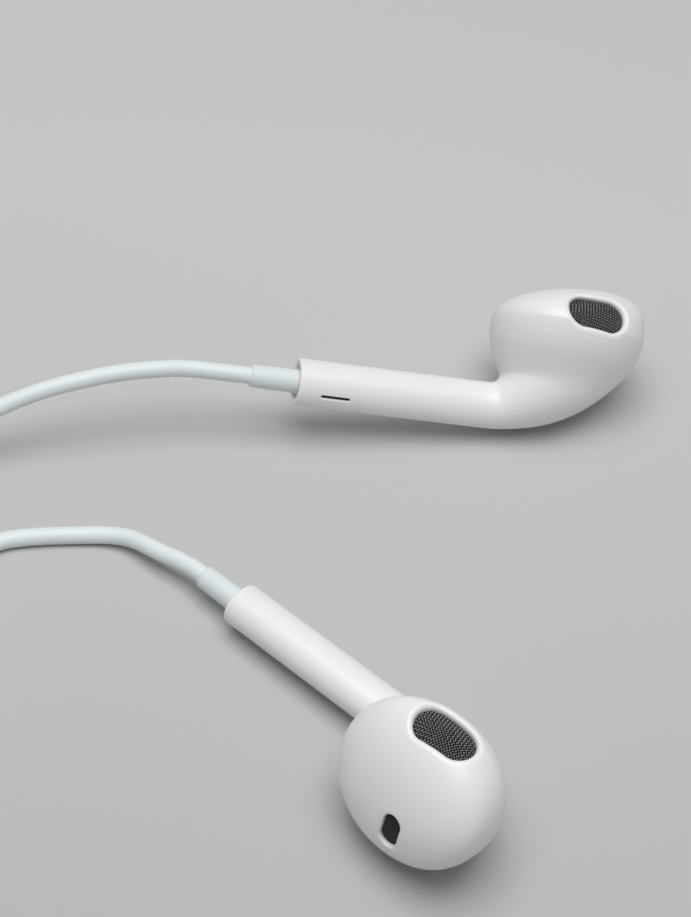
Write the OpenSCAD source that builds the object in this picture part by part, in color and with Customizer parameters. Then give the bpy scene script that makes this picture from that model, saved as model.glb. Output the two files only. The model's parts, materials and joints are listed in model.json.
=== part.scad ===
// Wired earphones: two moulded earbuds on thin cords that join at a split and end in a jack plug.
// Millimetres. The pieces lie on z = 0, +Z is up and +Y points away from the viewer.
// Each bud has a frame of its own: x along the stem to the head, y to the ear, z to the face.

/* [Stem] */
// Length of the stem from its open end to the neck
stem_len = 22.2; // [18:0.1:26]
// Depth of the stem at its open end
stem_deep_end = 5.2; // [4.8:0.1:6]
// Depth of the stem at the neck
stem_deep_neck = 5.2; // [4.8:0.1:6]
// Width of the stem at its open end
stem_wide_end = 4.5; // [4.4:0.1:5.2]
// Width of the stem at the neck
stem_wide_neck = 4.6; // [4.4:0.1:5.2]
// Wall of the stem
stem_wall = 0.6; // [0.4:0.05:0.7]
// Rounding of the stem's outer rim
rim_round = 0.15; // [0.05:0.05:0.3]
// Depth of the recess in the stem's open end
rim_recess = 0.6; // [0.3:0.1:1.2]
// Thickness of the wall behind the recess
end_wall = 1; // [0.6:0.1:2]

/* [Head] */
// Height of the neck's bend over the stem's axis
neck_rise = 4; // [3.6:0.1:4.6]
// Radius of the neck's inner bend
neck_bend = 1.1; // [0.6:0.1:1.6]
// How late the heel swells on its way up, as a power
heel_curve = 2.35; // [1.8:0.05:3]
// How late the neck widens on its way up, as a power
neck_swell = 1; // [0.8:0.05:1.4]
// Length of the head where it leaves the neck
base_len = 12.5; // [11.5:0.1:14]
// Width of the head where it leaves the neck
base_wide = 11.2; // [11:0.1:12]
// Length of the head over its widest section
head_len = 17.3; // [16:0.1:18]
// Width of the head over its widest section
head_wide = 16.3; // [15.8:0.1:16.8]
// Squareness of the head's sections, 2 is an ellipse
head_square = 2.05; // [2:0.05:2.3]
// Height from the neck's bend to the widest section
head_rise = 5.8; // [5.6:0.1:6.2]
// Height of the dome over the widest section
dome_rise = 5.2; // [4.8:0.1:5.8]
// Lean of the dome to the head's far end
dome_lean = 3.6; // [2.6:0.1:4]
// Shift of the head's widest section to the face
head_side = 1.9; // [1.4:0.1:2.2]
// Lean of the dome to the face
dome_side = -0.2; // [-0.6:0.1:0.6]
// Tilt of the seam to the stem, degrees
seam_tilt = 5; // [3:0.5:7]
// Height of the seam over the neck's bend
seam_rise = 4.4; // [4.3:0.1:4.6]
// Wall of the rear housing
shell_wall = 1; // [0.8:0.05:1.2]
// Wall of the front cover's lip inside the rear housing
lip_wall = 1.5; // [1.4:0.1:1.6]
// Depth of that lip
lip_deep = 0.6; // [0.3:0.1:0.9]
// Gap between lip and rear housing
lip_gap = 0.1; // [0.05:0.05:0.2]

/* [Openings] */
// Length of the sound opening
sound_len = 6.5; // [5.8:0.1:7]
// Width of the sound opening
sound_wide = 3.7; // [3.2:0.1:4.2]
// Height of the sound opening up the dome, as a share of the dome
sound_up = 0.32; // [0.3:0.01:0.42]
// Place of the sound opening round the head, 90 is the face side, degrees
sound_round = 93; // [88:1:100]
// Tilt of the sound opening to the face, degrees
sound_tilt = 71; // [62:1:74]
// Turn of the sound opening about its own axis, degrees
sound_turn = 1; // [-6:1:8]
// Depth of the speaker mesh under the dome
sound_deep = 0.8; // [0.5:0.1:1]
// Length of the small port
port_len = 3.9; // [3:0.1:4.2]
// Width of the small port
port_wide = 2; // [1.4:0.1:2.4]
// Height of the port up the dome, as a share of the dome
port_up = 0.87; // [0.82:0.01:0.88]
// Place of the port round the head, 270 is the back of the ear, degrees
port_round = 298; // [290:1:306]
// Tilt of the port to the back of the ear, degrees
port_tilt = 15; // [8:1:25]
// Depth of the port's mesh under the dome
port_deep = 0.6; // [0.5:0.1:1]
// Length of the slot vent in the stem
slot_len = 3.3; // [2.4:0.1:4]
// Width of the slot vent
slot_wide = 0.4; // [0.3:0.05:0.6]
// Distance of the slot vent from the stem's open end
slot_at = 4.2; // [3.8:0.1:8]
// Turn of the slot vent from the face side to the heel, degrees
slot_down = 34; // [10:1:45]
// Depth of the slot's mesh under the stem's surface
slot_deep = 0.35; // [0.25:0.05:0.45]
// Thickness of every mesh
mesh_t = 0.25; // [0.15:0.05:0.3]
// Width of the seat round every mesh
mesh_seat = 0.3; // [0.2:0.05:0.35]
// Gap round every mesh in its pocket
mesh_gap = 0.1; // [0.05:0.05:0.15]

/* [Driver] */
// Gap between the driver's frame and the rear housing's wall
driver_gap = 0.2; // [0.15:0.05:0.4]
// Depth of the driver's seat under the seam
seat_drop = 2.4; // [2.2:0.1:2.6]
// Width of the ledge that carries the frame
ledge = 1; // [0.8:0.1:1.2]
// Thickness of the frame's floor
frame_floor = 0.4; // [0.3:0.1:0.5]
// Wall of the frame's rim
frame_rim = 0.5; // [0.3:0.1:0.7]
// Diameter of the steel cup
cup_d = 7.8; // [7:0.1:8]
// Wall of the steel cup
cup_wall = 0.5; // [0.4:0.1:0.6]
// Depth of the steel cup under the frame's floor
cup_deep = 2; // [1.6:0.1:2.2]
// Thickness of the top plate
plate_t = 0.6; // [0.4:0.1:0.8]
// Overhang of the top plate round the magnet
plate_edge = 0.2; // [0.1:0.05:0.4]
// Gap between the cup and the voice coil
cup_gap = 0.25; // [0.2:0.05:0.35]
// Gap between the voice coil and the top plate
coil_gap = 0.15; // [0.1:0.05:0.2]
// Wall of the voice coil
coil_wall = 0.3; // [0.2:0.05:0.35]
// Height of the diaphragm over the frame's floor
diaphragm_up = 0.6; // [0.5:0.1:0.8]
// Thickness of the diaphragm
diaphragm_t = 0.12; // [0.08:0.01:0.2]
// Thickness of the foam seal
seal_t = 0.4; // [0.2:0.1:0.5]

/* [Cords] */
// Diameter of the thin cords to the buds
cord_d = 1.9; // [1.6:0.05:2]
// Diameter of the main cord
main_d = 2.3; // [2:0.05:2.4]
// Gap round a cord in its bore
cord_gap = 0.05; // [0.03:0.01:0.1]
// Length of the strain relief outside the stem
relief_len = 5.2; // [4:0.1:8]
// Diameter of the strain relief at the stem
relief_d = 2.7; // [2.5:0.05:2.8]
// Diameter of the strain relief at its cord end
relief_tip_d = 2.5; // [2.35:0.05:2.7]
// Gap round the strain relief in the stem's end wall
relief_gap = 0.07; // [0.05:0.01:0.1]
// Thickness of the strain relief's flange inside the stem
flange_t = 0.8; // [0.5:0.1:1]
// Length of the crimp on the cord inside the stem
stop_len = 1.4; // [1:0.1:1.6]
// Space between the turns of a put-away coil
coil_space = 0.85; // [0.85:0.05:1]
// Space between the layers of a put-away coil
layer_space = 0.6; // [0.6:0.05:0.8]
// Thickness of the coil ties
tie_t = 0.5; // [0.4:0.1:0.6]
// Width of the coil ties
tie_wide = 3; // [2:0.5:5]
// Gap between tie and coil
tie_gap = 0.25; // [0.25:0.05:0.35]

/* [Remote, split and plug] */
// Length of the remote
remote_len = 34; // [32:0.5:38]
// Width of the remote
remote_wide = 6.8; // [6.6:0.1:7.4]
// Thickness of the remote
remote_thick = 5.4; // [5.2:0.1:6]
// Wall of the remote's shells
remote_wall = 0.8; // [0.6:0.05:0.9]
// Travel of a key
key_travel = 0.3; // [0.2:0.05:0.35]
// Height of a key over the remote
key_proud = 0.3; // [0.1:0.05:0.5]
// Width of a key
key_wide = 3.2; // [2.6:0.1:3.4]
// Length of an end key
key_len = 6.4; // [5:0.1:7]
// Length of the centre key
centre_key_len = 4.6; // [4:0.1:5]
// Bar of the shell between two keys
key_bar = 1.4; // [1.3:0.1:1.8]
// Gap round a key
key_gap = 0.15; // [0.1:0.05:0.2]
// Thickness of the circuit board
board_t = 0.6; // [0.4:0.1:0.8]
// Length of the split
split_len = 14; // [12:0.5:18]
// Width of the split
split_wide = 6.4; // [6:0.1:8]
// Thickness of the split
split_thick = 4; // [3.6:0.1:5]
// Spacing of the thin cords in the split
split_pitch = 3; // [2.6:0.1:3.4]
// Diameter of the plug's grip
grip_d = 5.4; // [4.6:0.1:7]
// Length of the plug's grip
grip_len = 15; // [12:0.5:20]
// Length of the plug's strain relief
plug_relief_len = 7; // [5:0.5:12]
// Diameter of the plug's shaft
jack_d = 3.5; // [3.4:0.05:3.6]
// Length of the plug's shaft
jack_len = 14; // [13:0.5:16]
// Length of each ring contact
contact_len = 2.2; // [1.6:0.1:2.6]
// Length of each insulating band
band_len = 0.6; // [0.4:0.1:0.8]

/* [Hidden] */
$fn = 48;

// Where the buds lie: the middle of the stem's open end, and the turns about x, y and z.
left_at = [-15.312, 20.943, 7.774];
left_turn = [38.65, 10.28, 9.85];
right_at = [-17.852, -7.217, 3.032];
right_turn = [155.07, -0.75, -36.38];

// Resolution of the lofts
ring_sides = 32;
stem_steps = 3;
neck_steps = 8;
wall_steps = 3;
dome_steps = 9;
dome_end = 87;

// Derived sizes of the head
neck_turn = 90 - seam_tilt;
head_mid = neck_bend + base_len / 2;
seat_rise = seam_rise - seat_drop;
cover_wall = shell_wall + lip_gap + lip_wall;
hole_d = relief_d + 2 * relief_gap;

function mix(a, b, t) = a + (b - a) * t;
function unit(v) = v / norm(v);
function signed_pow(x, e) = sign(x) * pow(abs(x), e);
function ease(t) = t * t * (3 - 2 * t);

// Points round a section of unit size, an ellipse at a squareness of 2
function section(square) = [
  for (i = [0:ring_sides - 1])
    let (t = 360 * i / ring_sides)
      [signed_pow(cos(t), 2 / square), signed_pow(sin(t), 2 / square)]
];

// A ring of the stem at x, drawn in by inset
function stem_ring(x, inset) =
  let (
    deep = mix(stem_deep_end, stem_deep_neck, x / stem_len),
    wide = mix(stem_wide_end, stem_wide_neck, x / stem_len)
  )
    [for (s = section(2)) [x, (deep / 2 - inset) * s[0], (wide / 2 - inset) * s[1]]];

// Shift of the sections to the face, first up the neck and then up the head's wall
neck_share = 0.3;
function wall_side(h) = head_side * mix(neck_share, 1, h / head_rise);

// A ring of the neck, which fans round its inner bend from the stem (0) to the head (1)
function neck_ring(t, inset) =
  let (
    turn = neck_turn * t,
    far = mix(neck_rise + stem_deep_neck / 2, head_mid + base_len / 2, pow(t, heel_curve)) - inset,
    near = mix(neck_rise - stem_deep_neck / 2, neck_bend, t) + inset,
    wide = mix(stem_wide_neck, base_wide, pow(t, neck_swell)) / 2 - inset
  )
    [
      for (s = section(mix(2, head_square, t)))
        let (r = (far + near) / 2 - (far - near) / 2 * s[0])
          [stem_len + r * sin(turn), neck_rise - r * cos(turn), head_side * neck_share * t + wide * s[1]]
    ];

// A point of the head: p along it from the neck's bend, h up from that bend, w to the face
function head_point(p, h, w) = [
  stem_len + p * cos(seam_tilt) + h * sin(seam_tilt),
  neck_rise - p * sin(seam_tilt) + h * cos(seam_tilt),
  w
];

// Half the width of the head's wall at height h under the widest section, and its ring there
function wall_draw(h) = pow((head_rise - h) / head_rise, 2);
function wall_half(h) = mix(head_wide, base_wide, wall_draw(h)) / 2;
function wall_ring(h, inset) =
  let (
    long = mix(head_len, base_len, wall_draw(h)) / 2 - inset,
    wide = wall_half(h) - inset
  )
    [for (s = section(head_square)) head_point(head_mid - long * s[0], h, wall_side(h) + wide * s[1])];

// A point and a ring of the dome at a share up of its height
function dome_point(up, s, inset) =
  let (shrink = sqrt(1 - up * up))
    [
      head_mid + dome_lean * up * up - (head_len / 2 - inset) * shrink * s[0],
      head_rise + (dome_rise - inset) * up,
      head_side + dome_side * up * up + (head_wide / 2 - inset) * shrink * s[1]
    ];
function dome_ring(up, inset) = [
  for (s = section(head_square))
    let (d = dome_point(up, s, inset))
      head_point(d[0], d[1], d[2])
];

// The dome's rings from its top down to the widest section, and a list turned round
function dome_rings(inset) = [
  for (i = [dome_steps:-1:0])
    dome_ring(sin(dome_end * i / dome_steps), inset)
];
function reversed(list) = [for (i = [len(list) - 1:-1:0]) list[i]];

// A closed skin over rings of equal count, either a loop of rings or capped at both ends
module skin(rings, loop) {
  n = len(rings[0]);
  last = len(rings) - (loop ? 1 : 2);
  sides = [
    for (i = [0:last], j = [0:n - 1])
      let (
        a = i * n,
        b = (i + 1) % len(rings) * n,
        k = (j + 1) % n
      )
        each [[a + j, b + j, b + k], [a + j, b + k, a + k]]
  ];
  caps = loop ? [] : [[for (j = [0:n - 1]) j], [for (j = [n - 1:-1:0]) (len(rings) - 1) * n + j]];
  polyhedron(points = [for (r = rings) each r], faces = concat(sides, caps), convexity = 6);
}

// Outlines and frames that several pieces share
module pill(long, wide) {
  square([long - wide, wide], center = true);
  for (side = [-1, 1])
    translate([side * (long - wide) / 2, 0])
      circle(d = wide);
}
module soft_rectangle(long, wide, corner) {
  square([long, wide - 2 * corner], center = true);
  square([long - 2 * corner, wide], center = true);
  for (x = [-1, 1], y = [-1, 1])
    translate([x * (long / 2 - corner), y * (wide / 2 - corner)])
      circle(r = corner);
}
module on_head(p, tilt, turn) {
  translate(head_point(p[0], p[1], p[2]))
    rotate([0, 0, -seam_tilt])
      rotate([tilt - 90, 0, 0])
        rotate([0, 0, turn])
          children();
}
module at_sound() {
  spot = [signed_pow(cos(sound_round), 2 / head_square), signed_pow(sin(sound_round), 2 / head_square)];
  on_head(dome_point(sound_up, spot, 0), sound_tilt, sound_turn)
    children();
}
module at_port() {
  spot = [signed_pow(cos(port_round), 2 / head_square), signed_pow(sin(port_round), 2 / head_square)];
  on_head(dome_point(port_up, spot, 0), -port_tilt, 90)
    children();
}
module at_slot() {
  deep = mix(stem_deep_end, stem_deep_neck, slot_at / stem_len) / 2;
  wide = mix(stem_wide_end, stem_wide_neck, slot_at / stem_len) / 2;
  reach = norm([deep * sin(slot_down), wide * cos(slot_down)]);
  translate([slot_at, -deep * deep * sin(slot_down) / reach, wide * wide * cos(slot_down) / reach])
    rotate([slot_down, 0, 0])
      children();
}
module at_driver() {
  on_head([head_mid, seat_rise, wall_side(seat_rise)], 0, 0)
    children();
}

// A pill-shaped cut through a wall, and a flat mesh of that outline with an edge that is moulded in
module cut(long, wide, deep, reach) {
  translate([0, 0, -deep - reach])
    linear_extrude(deep + 2 * reach)
      pill(long, wide);
}
module mesh_plate(long, wide, deep, edge) {
  translate([0, 0, -deep - mesh_t])
    linear_extrude(mesh_t)
      pill(long + 2 * edge, wide + 2 * edge);
}
// The speaker mesh follows the dome: a layer of the cover's wall inside the opening's outline, over the seam
mesh_low = seam_rise + mesh_seat;
module curved_mesh(edge) {
  intersection() {
    skin(
      concat(
        dome_rings(sound_deep + mesh_t),
        [wall_ring(mesh_low, sound_deep + mesh_t), wall_ring(mesh_low, sound_deep)],
        reversed(dome_rings(sound_deep))
      ),
      false
    );
    at_sound()
      cut(sound_len + 2 * edge, sound_wide + 2 * edge, sound_deep, sound_reach);
  }
}
groove = mesh_seat + mesh_gap;

// Reach of the cuts past the meshes, clear of the wall
sound_reach = 2.6;
port_reach = 2.6;
slot_reach = 0.6;

module front_cover() {
  lip = shell_wall + lip_gap;
  rings = concat(
    dome_rings(cover_wall),
    [wall_ring(seam_rise, cover_wall), wall_ring(seam_rise - lip_deep, cover_wall)],
    [wall_ring(seam_rise - lip_deep, lip), wall_ring(seam_rise, lip), wall_ring(seam_rise, 0)],
    reversed(dome_rings(0))
  );
  color("white")
    difference() {
      skin(rings, false);
      at_sound()
        cut(sound_len, sound_wide, sound_deep, sound_reach);
      curved_mesh(groove);
      at_port() {
        cut(port_len, port_wide, port_deep, port_reach);
        mesh_plate(port_len, port_wide, port_deep, groove);
      }
    }
}

module rear_housing() {
  inner = shell_wall;
  stop_x = rim_recess + end_wall;
  hole = [for (s = section(2)) [hole_d / 2 * s[0], hole_d / 2 * s[1]]];
  rings = concat(
    [stem_ring(0, rim_round)],
    [for (i = [0:stem_steps - 1]) stem_ring(mix(rim_round, stem_len, i / stem_steps), 0)],
    [for (i = [0:neck_steps]) neck_ring(i / neck_steps, 0)],
    [for (i = [1:wall_steps]) wall_ring(seam_rise * i / wall_steps, 0)],
    [wall_ring(seam_rise, inner), wall_ring(seat_rise, inner), wall_ring(seat_rise, inner + ledge)],
    [for (i = [neck_steps:-1:0]) neck_ring(i / neck_steps, mix(stem_wall, inner, i / neck_steps))],
    [for (i = [stem_steps - 1:-1:0]) stem_ring(mix(stop_x, stem_len, i / stem_steps), stem_wall)],
    [for (x = [stop_x, rim_recess]) [for (h = hole) [x, h[0], h[1]]]],
    [stem_ring(rim_recess, stem_wall), stem_ring(0, stem_wall)]
  );
  color("white")
    difference() {
      skin(rings, true);
      at_slot() {
        cut(slot_len, slot_wide, slot_deep, slot_reach);
        mesh_plate(slot_len, slot_wide, slot_deep, groove);
      }
    }
}

module speaker_mesh() {
  color("dimgray")
    curved_mesh(mesh_seat);
}
module port_mesh() {
  color("dimgray")
    at_port()
      mesh_plate(port_len, port_wide, port_deep, mesh_seat);
}
module vent_mesh() {
  color("black")
    at_slot()
      mesh_plate(slot_len, slot_wide, slot_deep, mesh_seat);
}

// The driver, drawn from its seat on the ledge upwards
frame_r = wall_half(seat_rise) - shell_wall - driver_gap;
cup_r = cup_d / 2;
cup_flange = 0.4;
flange_up = 0.2;
magnet_t = cup_deep - cup_wall + frame_floor - plate_t;
coil_r = cup_r - cup_wall - cup_gap;
plate_r = coil_r - coil_wall - coil_gap;
coil_up = frame_floor + diaphragm_up;
coil_len = 1.2;
dome_up = 0.7;
roll_up = 0.35;
rim_up = seat_drop - lip_deep - seal_t;
surround_gap = 0.15;
surround_r = frame_r - frame_rim - surround_gap;

module driver_frame() {
  color("gainsboro")
    at_driver()
      rotate_extrude()
        polygon([
          [cup_r + cord_gap, 0], [frame_r, 0], [frame_r, rim_up], [frame_r - frame_rim, rim_up],
          [frame_r - frame_rim, frame_floor], [cup_r + cord_gap, frame_floor]
        ]);
}
module driver_cup() {
  color("silver")
    at_driver()
      rotate_extrude()
        polygon([
          [0, -cup_deep], [cup_r, -cup_deep], [cup_r, frame_floor], [cup_r + cup_flange, frame_floor],
          [cup_r + cup_flange, frame_floor + flange_up], [cup_r - cup_wall, frame_floor + flange_up],
          [cup_r - cup_wall, cup_wall - cup_deep], [0, cup_wall - cup_deep]
        ]);
}
module magnet() {
  color("darkgray")
    at_driver()
      translate([0, 0, cup_wall - cup_deep])
        cylinder(r = plate_r - plate_edge, h = magnet_t);
}
module top_plate() {
  color("silver")
    at_driver()
      translate([0, 0, cup_wall - cup_deep + magnet_t])
        cylinder(r = plate_r, h = plate_t);
}
module voice_coil() {
  color("peru")
    at_driver()
      translate([0, 0, coil_up - coil_len])
        difference() {
          cylinder(r = coil_r, h = coil_len);
          translate([0, 0, -1])
            cylinder(r = coil_r - coil_wall, h = coil_len + 2);
        }
}
// Height of the diaphragm's lower face at radius r: a dome inside the voice coil, a roll outside it
function diaphragm_z(r) =
  r < coil_r
    ? coil_up + dome_up * (1 - pow(r / coil_r, 2))
    : coil_up + roll_up * sin(180 * (r - coil_r) / (surround_r - coil_r));
module diaphragm() {
  radii = concat([for (i = [0:5]) coil_r * i / 6], [for (i = [0:8]) mix(coil_r, surround_r, i / 8)]);
  n = len(radii);
  color("wheat")
    at_driver()
      rotate_extrude()
        polygon(concat(
          [for (r = radii) [r, diaphragm_z(r)]],
          [for (i = [n - 1:-1:0]) [radii[i], diaphragm_z(radii[i]) + diaphragm_t]]
        ));
}
module driver_seal() {
  color("dimgray")
    at_driver()
      translate([0, 0, rim_up])
        difference() {
          cylinder(r = frame_r, h = seal_t);
          translate([0, 0, -1])
            cylinder(r = frame_r - frame_rim, h = seal_t + 2);
        }
}

// The soft sleeve at the stem's end and the crimp behind it, both on the cord
cord_bore = cord_d + 2 * cord_gap;
flange_d = min(stem_wide_end, stem_deep_end) - 2 * stem_wall - 2 * cord_gap;
module strain_relief() {
  inside = rim_recess + end_wall;
  color("lavender")
    rotate([0, 90, 0])
      rotate_extrude()
        polygon([
          [cord_bore / 2, -relief_len], [relief_tip_d / 2 - rim_round, -relief_len],
          [relief_tip_d / 2, rim_round - relief_len], [relief_d / 2, 0], [relief_d / 2, inside],
          [flange_d / 2, inside], [flange_d / 2, inside + flange_t], [cord_bore / 2, inside + flange_t]
        ]);
}
module cable_stop() {
  color("silver")
    translate([rim_recess + end_wall + flange_t, 0, 0])
      rotate([0, 90, 0])
        difference() {
          cylinder(d = flange_d, h = stop_len);
          translate([0, 0, -1])
            cylinder(d = cord_bore, h = stop_len + 2);
        }
}

// Places of the two buds. The right bud is the left one mirrored.
module left_bud() {
  translate(left_at)
    rotate(left_turn)
      children();
}
module right_bud() {
  translate(right_at)
    rotate(right_turn)
      mirror([0, 0, 1])
        children();
}
// The point x along a bud's stem, where the cord runs
function along_stem(at, turn, x) =
  at + x * [cos(turn[1]) * cos(turn[2]), cos(turn[1]) * sin(turn[2]), -sin(turn[1])];

// Cords. A tube is one skin along a route, its rings square to the route.
cord_sides = 8;
coil_sides = 6;
function way_at(path, i) = unit(path[min(i + 1, len(path) - 1)] - path[max(i - 1, 0)]);
function tube_ring(path, i, d, sides) =
  let (
    along = way_at(path, i),
    side = unit(cross(along, [0, 0, 1])),
    up = cross(side, along)
  )
    [
      for (k = [0:sides - 1])
        let (t = 360 * (k + 0.5) / sides)
          path[i] + d / 2 * (cos(t) * up + sin(t) * side)
    ];
module tube(path, d, sides) {
  color("white")
    skin([for (i = [0:len(path) - 1]) tube_ring(path, i, d, sides)], false);
}
function total(v) = v * [for (x = v) 1];
function length(path) = total([for (i = [1:len(path) - 1]) norm(path[i] - path[i - 1])]);

// Coils: each is one wound tube that spirals in and out, layer on layer.
// A coil is [middle, start angle, way round, turns a layer, layers, inner radius, cord diameter].
loop_rings = 24;
climb_turn = 180;
function pitch(d) = d + coil_space;
function layer_step(d) = d + layer_space;
function base_z(d) = d / 2 + tie_gap + tie_t;
function outer_r(turns, r_in, d) = r_in + pitch(d) * turns;
function coil_angle(c) = c[4] * 360 * c[3] + (c[4] - 1) * climb_turn;
function coil_point(c, a) =
  let (
    layer_turn = 360 * c[3],
    cycle = layer_turn + climb_turn,
    layer = min(floor(a / cycle), c[4] - 1),
    past = a - layer * cycle,
    wound = min(past / layer_turn, 1),
    climb = max(past - layer_turn, 0) / climb_turn,
    share = layer % 2 == 0 ? 1 - wound : wound,
    r = c[5] + pitch(c[6]) * c[3] * share,
    t = c[1] + c[2] * a
  )
    [
      c[0][0] + r * cos(t),
      c[0][1] + r * sin(t),
      base_z(c[6]) + layer_step(c[6]) * (layer + ease(climb))
    ];
function coil_way(c, a) = let (t = c[1] + c[2] * a) c[2] * [-sin(t), cos(t), 0];
function coil_start(c) = coil_point(c, 0) - c[6] * coil_way(c, 0);
function coil_end(c) = coil_point(c, coil_angle(c)) + c[6] * coil_way(c, coil_angle(c));
function coil_path(c) =
  let (
    total = coil_angle(c),
    n = round(total / 360 * loop_rings)
  )
    concat(
      [coil_start(c), coil_start(c) + c[6] / 2 * coil_way(c, 0)],
      [for (i = [0:n]) coil_point(c, total * i / n)],
      [coil_end(c) - c[6] / 2 * coil_way(c, total), coil_end(c)]
    );
// Least gap of a coil to itself, between points more than a third of a loop apart
function least_gap(path, d) =
  min([
    for (i = [0:len(path) - 1])
      for (j = [i + loop_rings / 3:1:len(path) - 1])
        norm(path[i] - path[j])
  ]) - d;

left_wound = [1.75, 2, 8.1];
right_wound = [1, 2, 8.5];
main_wound = [2.1875, 4, 8.5];
left_lead_y = 6;
right_lead_x = -61.5;
main_lead_y = left_lead_y - split_pitch / 2;
left_r = outer_r(left_wound[0], left_wound[2], cord_d);
right_r = outer_r(right_wound[0], right_wound[2], cord_d);
main_r = outer_r(main_wound[0], main_wound[2], main_d);
left_loop = [[-64, left_lead_y + left_r], 270, -1, left_wound[0], left_wound[1], left_wound[2], cord_d];
right_loop = [[right_lead_x - right_r, -18], 0, -1, right_wound[0], right_wound[1], right_wound[2], cord_d];
main_loop = [[-116.5, main_lead_y - main_r], 90, 1, main_wound[0], main_wound[1], main_wound[2], main_d];

// Where the remote, the split and the plug lie. The remote points to +Y, the plug to -Y.
remote_at = [-52.5, -24, 0];
split_at = [-98, main_lead_y, 0];
plug_at = [coil_end(main_loop)[0], -31, grip_d / 2];
cord_inside = 4.5;
remote_inside = 1.8;
split_inside = 4.6;
plug_inside = 6;
remote_z = remote_thick / 2;
split_z = split_thick / 2;
remote_start_y = remote_at[1] - remote_len / 2;
remote_end_y = remote_at[1] + remote_len / 2;
split_near_x = split_at[0] + split_len / 2;
split_far_x = split_at[0] - split_len / 2;

// Routes of the cords between the pieces
function stem_run(at, turn) = [for (x = [cord_inside, 1, -3, -7]) along_stem(at, turn, x)];
left_route = concat(
  stem_run(left_at, left_turn),
  [
    [-27.1, 19.1, 9.6], [-30.2, 18.3, 9.8], [-34.3, 17.1, 9.7], [-38.4, 15.7, 9.2], [-42.4, 14.2, 8.4],
    [-46.4, 12.3, 7.2], [-50, 10, 5.5], [-54, 7.5, 3.4], [-58, 6.2, 2]
  ],
  [coil_start(left_loop) + [2, 0, 0], coil_start(left_loop)]
);
left_split_route = concat(
  [coil_end(left_loop), coil_end(left_loop) - [2, 0, 0]],
  [[-72, left_lead_y, 3.8], [-78, left_lead_y, 2.9], [-84, left_lead_y, 2.2], [-88, left_lead_y, split_z]],
  [[split_near_x, left_lead_y, split_z], [split_near_x - split_inside, left_lead_y, split_z]]
);
right_route = concat(
  stem_run(right_at, right_turn),
  [
    [-27.3, -1, 2.4], [-30.2, 0.8, 1.7], [-32.9, 1.4, 1.15], [-36.4, 1, 0.96], [-40.7, 0.1, 0.96],
    [-44, -1.1, 0.96], [-46.1, -3.2, 0.96], [-46.9, -6.4, 0.96], [-46.7, -10, 0.96], [-46, -16, 0.96],
    [-45.2, -23, 0.96], [-44.4, -31, 0.96], [-43.7, -39, 0.96], [-43.6, -43, 1.1], [-44.6, -46.3, 1.4],
    [-47.2, -48.5, 1.9], [-50.2, -47.9, 2.4], [-52.1, -45.6, remote_z]
  ],
  [
    [remote_at[0], remote_start_y - 2, remote_z],
    [remote_at[0], remote_start_y + remote_inside, remote_z]
  ]
);
remote_route = concat(
  [
    [remote_at[0], remote_end_y - remote_inside, remote_z],
    [remote_at[0], remote_end_y + 2, remote_z]
  ],
  [
    [-52.8, -2.9, remote_z], [-54.4, -0.6, 2.6], [-57, 0.4, 2.3], [-59.6, -0.6, 2], [-61.1, -2.9, 1.8],
    [right_lead_x, -6, base_z(cord_d)], [right_lead_x, -11, base_z(cord_d)]
  ],
  [coil_start(right_loop)]
);
right_end_x = coil_end(right_loop)[0];
right_lead_y = left_lead_y - split_pitch;
lead_bend = 5;
right_split_route = concat(
  [coil_end(right_loop), coil_end(right_loop) + [0, 2, 0]],
  [[right_end_x, -9, 3.4], [right_end_x, -4.5, 2.5]],
  [
    for (a = [0:30:90])
      [right_end_x - lead_bend * (1 - cos(a)), right_lead_y - lead_bend * (1 - sin(a)), split_z]
  ],
  [[split_near_x, right_lead_y, split_z], [split_near_x - split_inside, right_lead_y, split_z]]
);
main_route = [
  [split_far_x + split_inside, main_lead_y, split_z],
  [split_far_x - 1, main_lead_y, split_z],
  [-108.5, main_lead_y, split_z],
  coil_start(main_loop) + [2, 0, 0],
  coil_start(main_loop)
];
plug_route = concat(
  [coil_end(main_loop), coil_end(main_loop) - [0, 1.5, 0]],
  [
    for (p = [[-17, 9.9], [-19.5, 8.4], [-21.5, 6.3], [-23.5, 4.4], [-26, 3.1], [-28.5, plug_at[2]]])
      [plug_at[0], p[0], p[1]]
  ],
  [plug_at, plug_at - [0, plug_relief_len + plug_inside, 0]]
);
left_total = length(left_route) + length(coil_path(left_loop)) + length(left_split_route);
right_total = length(right_route) + length(remote_route) + length(coil_path(right_loop))
  + length(right_split_route) + remote_len - 2 * remote_inside;
main_total = length(main_route) + length(coil_path(main_loop)) + length(plug_route);
echo(left_total = left_total, right_total = right_total, main_total = main_total);
echo(left_gap = least_gap(coil_path(left_loop), cord_d));
echo(right_gap = least_gap(coil_path(right_loop), cord_d));
echo(main_gap = least_gap(coil_path(main_loop), main_d));

// A soft loop round the bundle of a coil, at the angle a
module coil_tie(c, a) {
  d = c[6];
  long = pitch(d) * c[3] + d + 2 * tie_gap;
  high = layer_step(d) * (c[4] - 1) + d + 2 * tie_gap;
  mid_r = c[5] + pitch(d) * c[3] / 2;
  corner = d / 2;
  translate([c[0][0], c[0][1], 0])
    rotate([0, 0, a])
      translate([mid_r, tie_wide / 2, tie_t + high / 2])
        rotate([90, 0, 0])
          linear_extrude(tie_wide)
            difference() {
              soft_rectangle(long + 2 * tie_t, high + 2 * tie_t, corner + tie_t);
              soft_rectangle(long, high, corner);
            }
}
module cord_ties() {
  color("gainsboro") {
    coil_tie(left_loop, 90);
    coil_tie(right_loop, 90);
    coil_tie(main_loop, 270);
  }
}

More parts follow.
